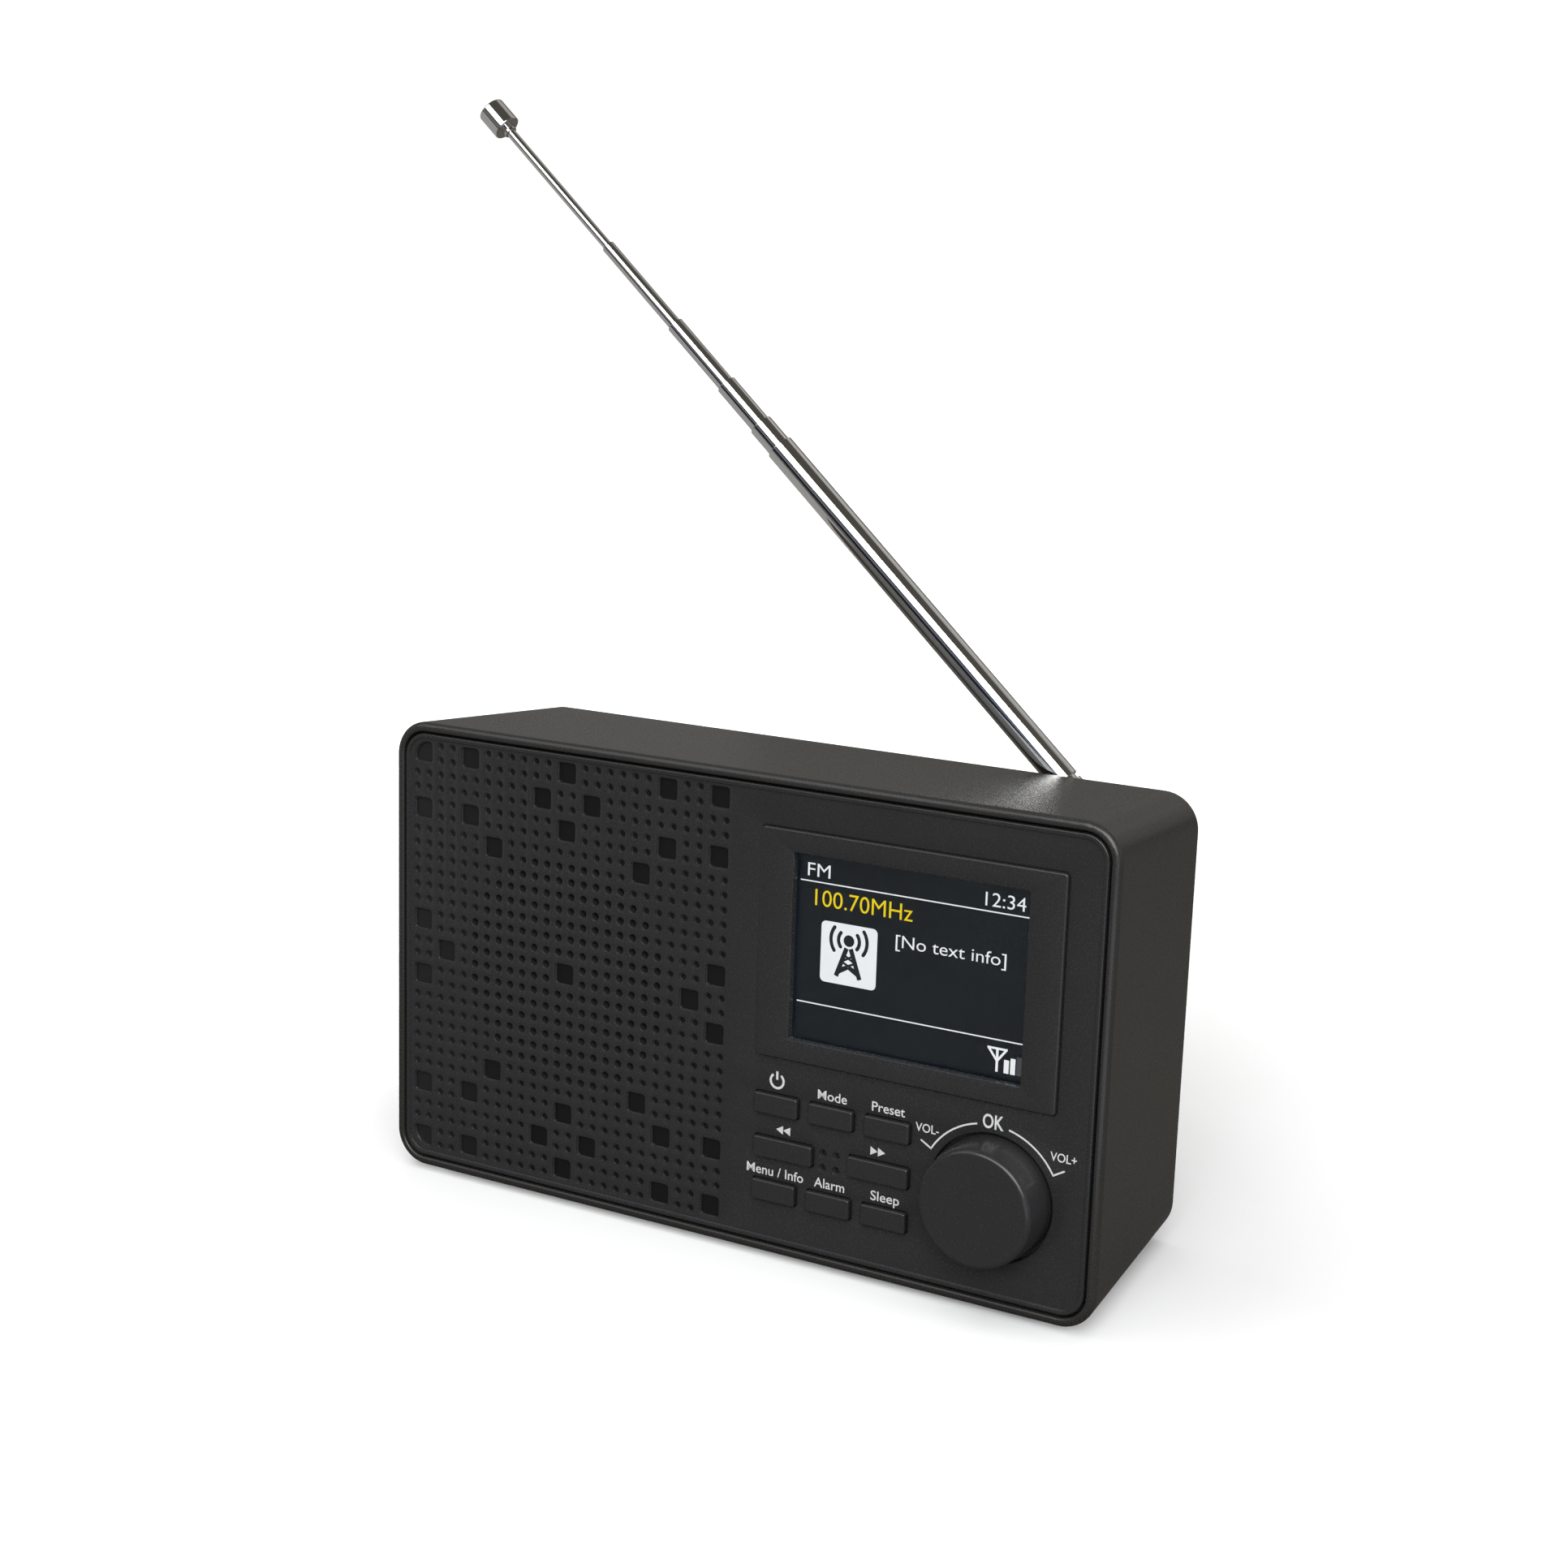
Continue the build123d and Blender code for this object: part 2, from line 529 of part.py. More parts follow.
SCREW_HEAD_RADIUS = 1.9
SCREW_HEAD_HEIGHT = 1.3
SCREW_SHANK_RADIUS = 0.78
with BuildPart() as board_screws:
    for u, v in BOARD_POSTS:
        with BuildSketch(face(BOARD_FRONT + BOARD_THICKNESS, u, v)):
            Circle(SCREW_HEAD_RADIUS)
        extrude(amount=-SCREW_HEAD_HEIGHT)
        with BuildSketch(face(BOARD_FRONT + BOARD_THICKNESS, u, v)):
            Circle(SCREW_SHANK_RADIUS)
        extrude(amount=6.0)
    for u, v in BRACKET_POSTS:
        with BuildSketch(face(BRACKET_FRONT + BRACKET_THICKNESS, u, v)):
            Circle(SCREW_HEAD_RADIUS)
        extrude(amount=-SCREW_HEAD_HEIGHT)
        with BuildSketch(face(BRACKET_FRONT + BRACKET_THICKNESS, u, v)):
            Circle(SCREW_SHANK_RADIUS)
        extrude(amount=4.2)

board_screws.part.label = "board_screws"
export_step(board_screws.part, "parts/board_screws.step")

# ---------------------------------------------------------------- encoder and knob
SHAFT_RADIUS = 3.0
SHAFT_FLAT = 1.5            # distance of the D flat from the shaft's middle
SHAFT_BORE = 3.05
BUSHING_RADIUS = 3.5
BUSHING_FRONT = -1.0
WELL_FRONT, WELL_BACK, WELL_RADIUS = 5.0, 8.8, 4.5
PLUNGER_FRONT, PLUNGER_BACK = 7.2, 8.0
SHAFT_TIP = -5.5
SHAFT_FLAT_LENGTH = 3.6
RECESS_FLOOR = FIELD_DEPTH + KNOB_RECESS_DEPTH
WASHER_THICKNESS = 0.4
NUT_THICKNESS = 1.6

with BuildPart() as encoder_body:
    with BuildSketch(face(PANEL_BACK, KNOB_U, KNOB_V)):
        RectangleRounded(12.4, 13.4, 0.8)
    extrude(amount=-(BOARD_FRONT - PANEL_BACK))
    with BuildSketch(face(PANEL_BACK, KNOB_U, KNOB_V)):
        Circle(BUSHING_RADIUS)
    extrude(amount=PANEL_BACK - BUSHING_FRONT)
    chamfer(encoder_body.faces().sort_by(DEPTH)[0].edges(), 0.3)
    with BuildSketch(face(BUSHING_FRONT, KNOB_U, KNOB_V)):
        Circle(SHAFT_BORE)
    extrude(amount=-(WELL_FRONT - BUSHING_FRONT), mode=Mode.SUBTRACT)
    with BuildSketch(face(WELL_FRONT, KNOB_U, KNOB_V)):
        Circle(WELL_RADIUS)
    extrude(amount=-(WELL_BACK - WELL_FRONT), mode=Mode.SUBTRACT)

encoder_body.part.label = "encoder_body"
export_step(encoder_body.part, "parts/encoder_body.step")

with BuildPart() as encoder_plunger:
    with BuildSketch(face(PLUNGER_FRONT, KNOB_U, KNOB_V)):
        Circle(WELL_RADIUS - 0.08)
    extrude(amount=-(PLUNGER_BACK - PLUNGER_FRONT))

encoder_plunger.part.label = "encoder_plunger"
export_step(encoder_plunger.part, "parts/encoder_plunger.step")

with BuildPart() as encoder_shaft:
    with BuildSketch(face(PLUNGER_FRONT, KNOB_U, KNOB_V)):
        Circle(SHAFT_RADIUS)
    extrude(amount=PLUNGER_FRONT - SHAFT_TIP)
    chamfer(encoder_shaft.faces().sort_by(DEPTH)[0].edges(), 0.4)
    with BuildSketch(face(SHAFT_TIP, KNOB_U, KNOB_V)):
        with Locations((0, SHAFT_FLAT + SHAFT_RADIUS / 2)):
            Rectangle(2 * SHAFT_RADIUS, SHAFT_RADIUS)
    extrude(amount=-SHAFT_FLAT_LENGTH, mode=Mode.SUBTRACT)

encoder_shaft.part.label = "encoder_shaft"
export_step(encoder_shaft.part, "parts/encoder_shaft.step")

with BuildPart() as encoder_washer:
    with BuildSketch(face(RECESS_FLOOR, KNOB_U, KNOB_V)):
        Circle(5.5)
        Circle(BUSHING_RADIUS + 0.1, mode=Mode.SUBTRACT)
    extrude(amount=WASHER_THICKNESS)

encoder_washer.part.label = "encoder_washer"
export_step(encoder_washer.part, "parts/encoder_washer.step")

with BuildPart() as encoder_nut:
    with BuildSketch(face(RECESS_FLOOR - WASHER_THICKNESS, KNOB_U, KNOB_V)):
        RegularPolygon(5.0, 6, major_radius=False)
        Circle(BUSHING_RADIUS, mode=Mode.SUBTRACT)
    extrude(amount=NUT_THICKNESS)

encoder_nut.part.label = "encoder_nut"
export_step(encoder_nut.part, "parts/encoder_nut.step")

KNOB_BACK = 1.5
KNOB_FRONT = FIELD_DEPTH - KNOB_PROUD
KNOB_ROUNDING = 1.0
KNOB_HOLLOW_RADIUS, KNOB_HOLLOW_DEPTH = 9.7, 6.0
HUB_START = KNOB_BACK - KNOB_HOLLOW_DEPTH - 0.1
HUB_END = -2.2
HUB_RADIUS = 4.75
HUB_BORE_DEPTH = 3.4
SHAFT_FIT = 0.02
with BuildPart() as volume_knob:
    with BuildSketch(face(KNOB_BACK, KNOB_U, KNOB_V)):
        Circle(KNOB_BASE_RADIUS)
    with BuildSketch(face(KNOB_FRONT, KNOB_U, KNOB_V)):
        Circle(KNOB_FACE_RADIUS)
    loft()
    fillet(volume_knob.faces().sort_by(DEPTH)[0].edges(), KNOB_ROUNDING)
    with BuildSketch(face(KNOB_BACK, KNOB_U, KNOB_V)):
        Circle(KNOB_HOLLOW_RADIUS)
    extrude(amount=KNOB_HOLLOW_DEPTH, mode=Mode.SUBTRACT)
    with BuildSketch(face(HUB_START, KNOB_U, KNOB_V)):
        Circle(HUB_RADIUS)
    extrude(amount=-(HUB_END - HUB_START))
    with BuildSketch(face(HUB_END, KNOB_U, KNOB_V)):
        Circle(SHAFT_RADIUS + SHAFT_FIT)
        with Locations((0, SHAFT_FLAT + SHAFT_FIT + 2)):
            Rectangle(8, 4, mode=Mode.SUBTRACT)
    extrude(amount=HUB_BORE_DEPTH, mode=Mode.SUBTRACT)

volume_knob.part.label = "volume_knob"
export_step(volume_knob.part, "parts/volume_knob.step")

# ---------------------------------------------------------------- loudspeaker
SPEAKER_PLANE = section(SPEAKER_U, SPEAKER_V)
SPEAKER_AXIS = inward_axis(SPEAKER_U, SPEAKER_V)
FLANGE_PLATE = PANEL_BACK + GASKET_THICKNESS
SPEAKER_RADIUS = 28.0
SPEAKER_INNER_RADIUS = 25.0
SPEAKER_EAR_RADIUS = 3.2
SHEET = 0.8
MAGNET_FRONT = 18.4

with BuildPart() as speaker_gasket:
    with BuildSketch(face(PANEL_BACK, SPEAKER_U, SPEAKER_V)):
        Circle(SPEAKER_RADIUS - 0.2)
        Circle(SPEAKER_INNER_RADIUS, mode=Mode.SUBTRACT)
        with GridLocations(2 * SPEAKER_EAR, 2 * SPEAKER_EAR, 2, 2):
            Circle(SPEAKER_POST_RADIUS + 0.2, mode=Mode.SUBTRACT)
    extrude(amount=-GASKET_THICKNESS)

speaker_gasket.part.label = "speaker_gasket"
export_step(speaker_gasket.part, "parts/speaker_gasket.step")

with BuildPart() as speaker_frame:
    with BuildSketch(face(FLANGE_PLATE, SPEAKER_U, SPEAKER_V)):
        Circle(SPEAKER_RADIUS)
        with GridLocations(2 * SPEAKER_EAR, 2 * SPEAKER_EAR, 2, 2):
            Circle(SPEAKER_EAR_RADIUS)
        Circle(SPEAKER_INNER_RADIUS, mode=Mode.SUBTRACT)
        with GridLocations(2 * SPEAKER_EAR, 2 * SPEAKER_EAR, 2, 2):
            Circle(SCREW_CLEARANCE, mode=Mode.SUBTRACT)
    extrude(amount=-SHEET)
    with BuildSketch(SPEAKER_PLANE):
        with BuildLine():
            Polyline(
                (25.0, FLANGE_PLATE),
                (26.0, FLANGE_PLATE),
                (26.0, 8.0),
                (22.5, 13.0),
                (16.0, 16.6),
                (16.0, MAGNET_FRONT),
                (7.2, MAGNET_FRONT),
                (7.2, MAGNET_FRONT - SHEET),
                (15.2, MAGNET_FRONT - SHEET),
                (15.2, 16.1),
                (21.9, 12.4),
                (25.0, 8.0),
                close=True,
            )
        make_face()
    revolve(axis=SPEAKER_AXIS)
    # windows in the basket
    with BuildSketch(face(7.6, SPEAKER_U, SPEAKER_V)):
        with PolarLocations(21.0, 4, start_angle=0):
            RectangleRounded(7.0, 11.0, 1.5)
    extrude(amount=-7.0, mode=Mode.SUBTRACT)

speaker_frame.part.label = "speaker_frame"
export_step(speaker_frame.part, "parts/speaker_frame.step")

with BuildPart() as speaker_surround:
    with BuildSketch(SPEAKER_PLANE):
        with BuildLine():
            Polyline((24.9, FLANGE_PLATE), (24.9, FLANGE_PLATE + 0.5), (23.4, FLANGE_PLATE + 0.5))
            ThreePointArc(
                (23.4, FLANGE_PLATE + 0.5), (21.6, FLANGE_PLATE - 1.0), (19.8, FLANGE_PLATE + 0.5)
            )
            Polyline(
                (19.8, FLANGE_PLATE + 0.5),
                (18.6, FLANGE_PLATE + 0.5),
                (18.6, FLANGE_PLATE),
                (19.4, FLANGE_PLATE),
            )
            ThreePointArc((19.4, FLANGE_PLATE), (21.6, FLANGE_PLATE - 1.6), (23.8, FLANGE_PLATE))
            Line((23.8, FLANGE_PLATE), (24.9, FLANGE_PLATE))
        make_face()
    revolve(axis=SPEAKER_AXIS)

speaker_surround.part.label = "speaker_surround"
export_step(speaker_surround.part, "parts/speaker_surround.step")

with BuildPart() as speaker_cone:
    with BuildSketch(SPEAKER_PLANE):
        with BuildLine():
            Polyline(
                (20.0, FLANGE_PLATE + 0.55),
                (20.0, FLANGE_PLATE + 0.95),
                (18.5, FLANGE_PLATE + 0.95),
                (7.4, 12.6),
                (7.05, 12.6),
                (7.05, 12.0),
                (18.3, FLANGE_PLATE + 0.55),
                close=True,
            )
        make_face()
    revolve(axis=SPEAKER_AXIS)

speaker_cone.part.label = "speaker_cone"
export_step(speaker_cone.part, "parts/speaker_cone.step")

CAP_SPHERE = 14.2
CAP_SPHERE_DEPTH = 22.6
CAP_HALF_ANGLE = 35.0
CAP_SHEET = 0.5
with BuildPart() as speaker_dust_cap:
    with BuildSketch(SPEAKER_PLANE):
        with BuildLine():
            outer = CenterArc((0, CAP_SPHERE_DEPTH), CAP_SPHERE, -90, CAP_HALF_ANGLE)
            inner = CenterArc((0, CAP_SPHERE_DEPTH), CAP_SPHERE - CAP_SHEET, -90, CAP_HALF_ANGLE)
            Line(outer @ 0, inner @ 0)
            Line(outer @ 1, inner @ 1)
        make_face()
    revolve(axis=SPEAKER_AXIS)

speaker_dust_cap.part.label = "speaker_dust_cap"
export_step(speaker_dust_cap.part, "parts/speaker_dust_cap.step")

COIL_FRONT, COIL_LENGTH = 11.6, 9.4
COIL_RADIUS, COIL_INNER_RADIUS = 7.0, 6.6
with BuildPart() as speaker_voice_coil:
    with BuildSketch(face(COIL_FRONT, SPEAKER_U, SPEAKER_V)):
        Circle(COIL_RADIUS)
        Circle(COIL_INNER_RADIUS, mode=Mode.SUBTRACT)
    extrude(amount=-COIL_LENGTH)

speaker_voice_coil.part.label = "speaker_voice_coil"
export_step(speaker_voice_coil.part, "parts/speaker_voice_coil.step")

with BuildPart() as speaker_spider:
    with BuildSketch(SPEAKER_PLANE):
        with BuildLine():
            Polyline(
                (7.05, 14.6),
                (9.0, 14.6),
                (10.4, 14.0),
                (11.8, 14.6),
                (13.2, 14.0),
                (14.4, 14.6),
                (15.1, 16.4),
                (15.1, MAGNET_FRONT - SHEET),
                (14.2, MAGNET_FRONT - SHEET),
                (14.2, 16.6),
                (13.6, 15.2),
                (13.2, 14.6),
                (11.8, 15.2),
                (10.4, 14.6),
                (9.0, 15.2),
                (7.05, 15.2),
                close=True,
            )
        make_face()
    revolve(axis=SPEAKER_AXIS)

speaker_spider.part.label = "speaker_spider"
export_step(speaker_spider.part, "parts/speaker_spider.step")

MAGNET_THICKNESS = 6.0
MAGNET_RADIUS, MAGNET_HOLE = 16.0, 8.4
PLATE_THICKNESS = 2.0
PLATE_RADIUS, PLATE_HOLE = 15.0, 7.3
POLE_RADIUS = 6.3
with BuildPart() as speaker_top_plate:
    with BuildSketch(face(MAGNET_FRONT, SPEAKER_U, SPEAKER_V)):
        Circle(PLATE_RADIUS)
        Circle(PLATE_HOLE, mode=Mode.SUBTRACT)
    extrude(amount=-PLATE_THICKNESS)

speaker_top_plate.part.label = "speaker_top_plate"
export_step(speaker_top_plate.part, "parts/speaker_top_plate.step")

MAGNET_START = MAGNET_FRONT + PLATE_THICKNESS
with BuildPart() as speaker_magnet:
    with BuildSketch(face(MAGNET_START, SPEAKER_U, SPEAKER_V)):
        Circle(MAGNET_RADIUS)
        Circle(MAGNET_HOLE, mode=Mode.SUBTRACT)
    extrude(amount=-MAGNET_THICKNESS)
    chamfer(speaker_magnet.edges().filter_by(GeomType.CIRCLE).group_by(SortBy.RADIUS)[-1], 0.6)

speaker_magnet.part.label = "speaker_magnet"
export_step(speaker_magnet.part, "parts/speaker_magnet.step")

YOKE_START = MAGNET_START + MAGNET_THICKNESS
with BuildPart() as speaker_yoke:
    with BuildSketch(face(YOKE_START, SPEAKER_U, SPEAKER_V)):
        Circle(PLATE_RADIUS)
    extrude(amount=-PLATE_THICKNESS)
    with BuildSketch(face(YOKE_START, SPEAKER_U, SPEAKER_V)):
        Circle(POLE_RADIUS)
    extrude(amount=YOKE_START - MAGNET_FRONT)

speaker_yoke.part.label = "speaker_yoke"
export_step(speaker_yoke.part, "parts/speaker_yoke.step")

with BuildPart() as speaker_screws:
    for side in (-1, 1):
        for level in (-1, 1):
            u = SPEAKER_U + side * SPEAKER_EAR
            v = SPEAKER_V + level * SPEAKER_EAR
            with BuildSketch(face(FLANGE_PLATE + SHEET, u, v)):
                Circle(2.2)
            extrude(amount=-1.4)
            with BuildSketch(face(FLANGE_PLATE + SHEET, u, v)):
                Circle(0.78)
            extrude(amount=3.6)

speaker_screws.part.label = "speaker_screws"
export_step(speaker_screws.part, "parts/speaker_screws.step")

# ---------------------------------------------------------------- rear cover
COVER_WIDTH = COVER_POCKET_WIDTH - 2 * COVER_GAP
COVER_HEIGHT = COVER_POCKET_HEIGHT - 2 * COVER_GAP
COVER_POST_END = CORNER_BOSS_END + 0.2
SCREW_SEAT = 32.0
MAIN_BOARD_U, MAIN_BOARD_V = 33.0, -4.0
MAIN_BOARD_WIDTH, MAIN_BOARD_HEIGHT = 66.0, 56.0
MAIN_BOARD_FRONT = 34.0
SOCKET_V = -24.0
DC_U, PHONES_U = 50.0, 30.0
SOCKET_NOSE_END = 46.4
BOSS_RADIUS = 5.6
BOSS_FACE_Y = 29.6
BOSS_INNER_Y = 25.2
BOSS_NECK_RADIUS = 4.5
STUD_RADIUS = 2.0
STUD_CLEARANCE = 0.05
COVER_CHAMFER = 0.4
SCREW_TUBE_BORE = 2.1
CASE_SCREW_CLEARANCE = 1.4
BOARD_POST_RADIUS = 2.4
BOARD_HOLES_U, BOARD_HOLES_V = MAIN_BOARD_WIDTH - 7, MAIN_BOARD_HEIGHT - 7
DISH_DEPTH = 0.6
VENT_U = -38.0
VENT_PITCH, VENT_COUNT = 5.0, 9
VENT_LENGTH, VENT_WIDTH = 44.0, 2.0
ANTENNA_SEAT = Plane(origin=(PIVOT_X, BOSS_FACE_Y, PIVOT_Z), x_dir=(-1, 0, 0), z_dir=(0, 1, 0))

with BuildPart() as rear_cover:
    with BuildSketch(face(COVER_START)):
        RectangleRounded(COVER_WIDTH, COVER_HEIGHT, CAVITY_CORNER - COVER_GAP)
    extrude(amount=-COVER_THICKNESS)
    chamfer(rear_cover.faces().sort_by(DEPTH)[-1].edges(), COVER_CHAMFER)
    # screw tubes at the corners
    with BuildSketch(face(COVER_POST_END)):
        with GridLocations(2 * CORNER_BOSS_U, 2 * CORNER_BOSS_V, 2, 2):
            Circle(CORNER_BOSS_RADIUS)
    extrude(amount=-(COVER_START - COVER_POST_END))
    with BuildSketch(face(CASE_DEPTH)):
        with GridLocations(2 * CORNER_BOSS_U, 2 * CORNER_BOSS_V, 2, 2):
            Circle(SCREW_TUBE_BORE)
    extrude(amount=CASE_DEPTH - SCREW_SEAT, mode=Mode.SUBTRACT)
    with BuildSketch(face(SCREW_SEAT)):
        with GridLocations(2 * CORNER_BOSS_U, 2 * CORNER_BOSS_V, 2, 2):
            Circle(CASE_SCREW_CLEARANCE)
    extrude(amount=SCREW_SEAT - COVER_POST_END, mode=Mode.SUBTRACT)
    # posts for the main board
    with BuildSketch(face(MAIN_BOARD_FRONT + BOARD_THICKNESS, MAIN_BOARD_U, MAIN_BOARD_V)):
        with GridLocations(BOARD_HOLES_U, BOARD_HOLES_V, 2, 2):
            Circle(BOARD_POST_RADIUS)
    extrude(amount=-(COVER_START - MAIN_BOARD_FRONT - BOARD_THICKNESS))
    with BuildSketch(face(MAIN_BOARD_FRONT + BOARD_THICKNESS, MAIN_BOARD_U, MAIN_BOARD_V)):
        with GridLocations(BOARD_HOLES_U, BOARD_HOLES_V, 2, 2):
            Circle(POST_PILOT)
    extrude(amount=-BOARD_PILOT_LENGTH, mode=Mode.SUBTRACT)
    # socket openings with shallow round dishes
    with BuildSketch(face(CASE_DEPTH)):
        with Locations((DC_U, SOCKET_V)):
            Circle(5.6)
        with Locations((PHONES_U, SOCKET_V)):
            Circle(4.8)
    extrude(amount=DISH_DEPTH, mode=Mode.SUBTRACT)
    with BuildSketch(face(CASE_DEPTH)):
        with Locations((DC_U, SOCKET_V)):
            Circle(4.3)
        with Locations((PHONES_U, SOCKET_V)):
            Circle(3.3)
    extrude(amount=COVER_THICKNESS, mode=Mode.SUBTRACT)
    # vent slots
    with BuildSketch(face(CASE_DEPTH)):
        with Locations((VENT_U, 0)):
            with GridLocations(0, VENT_PITCH, 1, VENT_COUNT):
                SlotOverall(VENT_LENGTH, VENT_WIDTH)
    extrude(amount=COVER_THICKNESS, mode=Mode.SUBTRACT)
    # upright boss for the antenna's swivel
    with BuildSketch(ANTENNA_SEAT):
        Circle(BOSS_RADIUS)
    extrude(amount=-2.0)
    with BuildSketch(ANTENNA_SEAT):
        Circle(BOSS_NECK_RADIUS)
    extrude(amount=-(BOSS_FACE_Y - BOSS_INNER_Y))
    with BuildSketch(ANTENNA_SEAT):
        Circle(STUD_RADIUS + STUD_CLEARANCE)
    extrude(amount=-(BOSS_FACE_Y - BOSS_INNER_Y), mode=Mode.SUBTRACT)

rear_cover.part.label = "rear_cover"
export_step(rear_cover.part, "parts/rear_cover.step")

CASE_SCREW_HEAD, CASE_SCREW_HEAD_HEIGHT = 2.0, 2.0
CASE_SCREW_TIP = 8.0
with BuildPart() as case_screws:
    for side in (-1, 1):
        for level in (-1, 1):
            u, v = side * CORNER_BOSS_U, level * CORNER_BOSS_V
            with BuildSketch(face(SCREW_SEAT, u, v)):
                Circle(CASE_SCREW_HEAD)
            extrude(amount=-CASE_SCREW_HEAD_HEIGHT)
            with BuildSketch(face(SCREW_SEAT, u, v)):
                Circle(CASE_SCREW_PILOT - 0.02)
            extrude(amount=SCREW_SEAT - CASE_SCREW_TIP)
            with BuildSketch(face(SCREW_SEAT + CASE_SCREW_HEAD_HEIGHT, u, v)):
                Rectangle(2.4, 0.5)
                Rectangle(0.5, 2.4)
            extrude(amount=1.0, mode=Mode.SUBTRACT)

case_screws.part.label = "case_screws"
export_step(case_screws.part, "parts/case_screws.step")

# ---------------------------------------------------------------- main board and sockets
with BuildPart() as main_board:
    with BuildSketch(face(MAIN_BOARD_FRONT, MAIN_BOARD_U, MAIN_BOARD_V)):
        Rectangle(MAIN_BOARD_WIDTH, MAIN_BOARD_HEIGHT)
        with GridLocations(BOARD_HOLES_U, BOARD_HOLES_V, 2, 2):
            Circle(SCREW_CLEARANCE, mode=Mode.SUBTRACT)
    extrude(amount=-BOARD_THICKNESS)
    # chips, connectors and capacitors on the side that faces the speaker
    with BuildSketch(face(MAIN_BOARD_FRONT, MAIN_BOARD_U, MAIN_BOARD_V)):
        with Locations((20, 4)):
            Rectangle(10, 10)
        with Locations((20, -12)):
            Rectangle(6, 8)
        with Locations((-24, -16)):
            Rectangle(5, 9)
    extrude(amount=1.4)
    with BuildSketch(face(MAIN_BOARD_FRONT, MAIN_BOARD_U, MAIN_BOARD_V)):
        with Locations((6, -20), (15, -21)):
            Circle(3.2)
        with Locations((-3, -20)):
            Circle(4.0)
    extrude(amount=9.0)

main_board.part.label = "main_board"
export_step(main_board.part, "parts/main_board.step")

TUNER_U, TUNER_V = MAIN_BOARD_U - 8, MAIN_BOARD_V + 10
TUNER_HEIGHT = 4.0
with BuildPart() as tuner_module:
    with BuildSketch(face(MAIN_BOARD_FRONT, TUNER_U, TUNER_V)):
        RectangleRounded(32.0, 26.0, 0.8)
    extrude(amount=TUNER_HEIGHT)
    fillet(tuner_module.faces().sort_by(DEPTH)[0].edges(), 0.4)
    with BuildSketch(face(MAIN_BOARD_FRONT - TUNER_HEIGHT, TUNER_U, TUNER_V)):
        with GridLocations(22.0, 16.0, 2, 2):
            Circle(1.0)
    extrude(amount=-0.5, mode=Mode.SUBTRACT)

tuner_module.part.label = "tuner_module"
export_step(tuner_module.part, "parts/tuner_module.step")

SOCKET_FRONT = MAIN_BOARD_FRONT + BOARD_THICKNESS
NOSE_START = COVER_START - 0.3
DC_OPENING, DC_PIN, DC_BORE_DEPTH = 2.8, 1.0, 8.4
JACK_BORE, JACK_BORE_DEPTH = 1.8, 9.6
with BuildPart() as dc_socket:
    with BuildSketch(face(SOCKET_FRONT, DC_U, SOCKET_V)):
        RectangleRounded(10.0, 11.0, 0.6)
    extrude(amount=-(NOSE_START - SOCKET_FRONT))
    with BuildSketch(face(NOSE_START, DC_U, SOCKET_V)):
        Circle(4.0)
    extrude(amount=-(SOCKET_NOSE_END - NOSE_START))
    with BuildSketch(face(SOCKET_NOSE_END, DC_U, SOCKET_V)):
        Circle(DC_OPENING)
        Circle(DC_PIN, mode=Mode.SUBTRACT)
    extrude(amount=DC_BORE_DEPTH, mode=Mode.SUBTRACT)

dc_socket.part.label = "dc_socket"
export_step(dc_socket.part, "parts/dc_socket.step")

with BuildPart() as headphone_socket:
    with BuildSketch(face(SOCKET_FRONT, PHONES_U, SOCKET_V)):
        RectangleRounded(7.6, 9.0, 0.5)
    extrude(amount=-(NOSE_START - SOCKET_FRONT))
    with BuildSketch(face(NOSE_START, PHONES_U, SOCKET_V)):
        Circle(3.0)
    extrude(amount=-(SOCKET_NOSE_END - NOSE_START))
    with BuildSketch(face(SOCKET_NOSE_END, PHONES_U, SOCKET_V)):
        Circle(JACK_BORE)
    extrude(amount=JACK_BORE_DEPTH, mode=Mode.SUBTRACT)

headphone_socket.part.label = "headphone_socket"
export_step(headphone_socket.part, "parts/headphone_socket.step")

with BuildPart() as main_board_screws:
    for side in (-1, 1):
        for level in (-1, 1):
            u = MAIN_BOARD_U + side * BOARD_HOLES_U / 2
            v = MAIN_BOARD_V + level * BOARD_HOLES_V / 2
            with BuildSketch(face(MAIN_BOARD_FRONT, u, v)):
                Circle(SCREW_HEAD_RADIUS)
            extrude(amount=SCREW_HEAD_HEIGHT)
            with BuildSketch(face(MAIN_BOARD_FRONT, u, v)):
                Circle(SCREW_SHANK_RADIUS)
            extrude(amount=-7.0)

main_board_screws.part.label = "main_board_screws"
export_step(main_board_screws.part, "parts/main_board_screws.step")

# ---------------------------------------------------------------- antenna
ANTENNA_X = -cos(radians(ANTENNA_ANGLE))
ANTENNA_Z = sin(radians(ANTENNA_ANGLE))
ALONG = Vector(ANTENNA_X, 0, ANTENNA_Z)
ACROSS = Vector(ANTENNA_Z, 0, -ANTENNA_X)
PIVOT = Vector(PIVOT_X, PIVOT_Y, PIVOT_Z)
SWIVEL_RADIUS = 5.4
SWIVEL_FLOOR_Y = 30.75
TONGUE_RADIUS = 2.6
TONGUE_HALF = 1.2
EAR_INNER = 1.3
EAR_OUTER = 3.0
PIN_RADIUS = 0.8
SWIVEL_GAP = 0.05
STUD_END_Y = 21.6
PIN_HEAD_RADIUS, PIN_HEAD_HEIGHT = 1.3, 0.4
COLLAR_START, COLLAR_END = 5.0, 7.9
COLLAR_RADIUS, NECK_RADIUS = 2.95, 2.4
PLUG_LENGTH = 4.6


def across_antenna(distance):
    """Plane square to the antenna at a distance from the pivot."""
    return Plane(origin=PIVOT + ALONG * distance, x_dir=ACROSS, z_dir=ALONG)


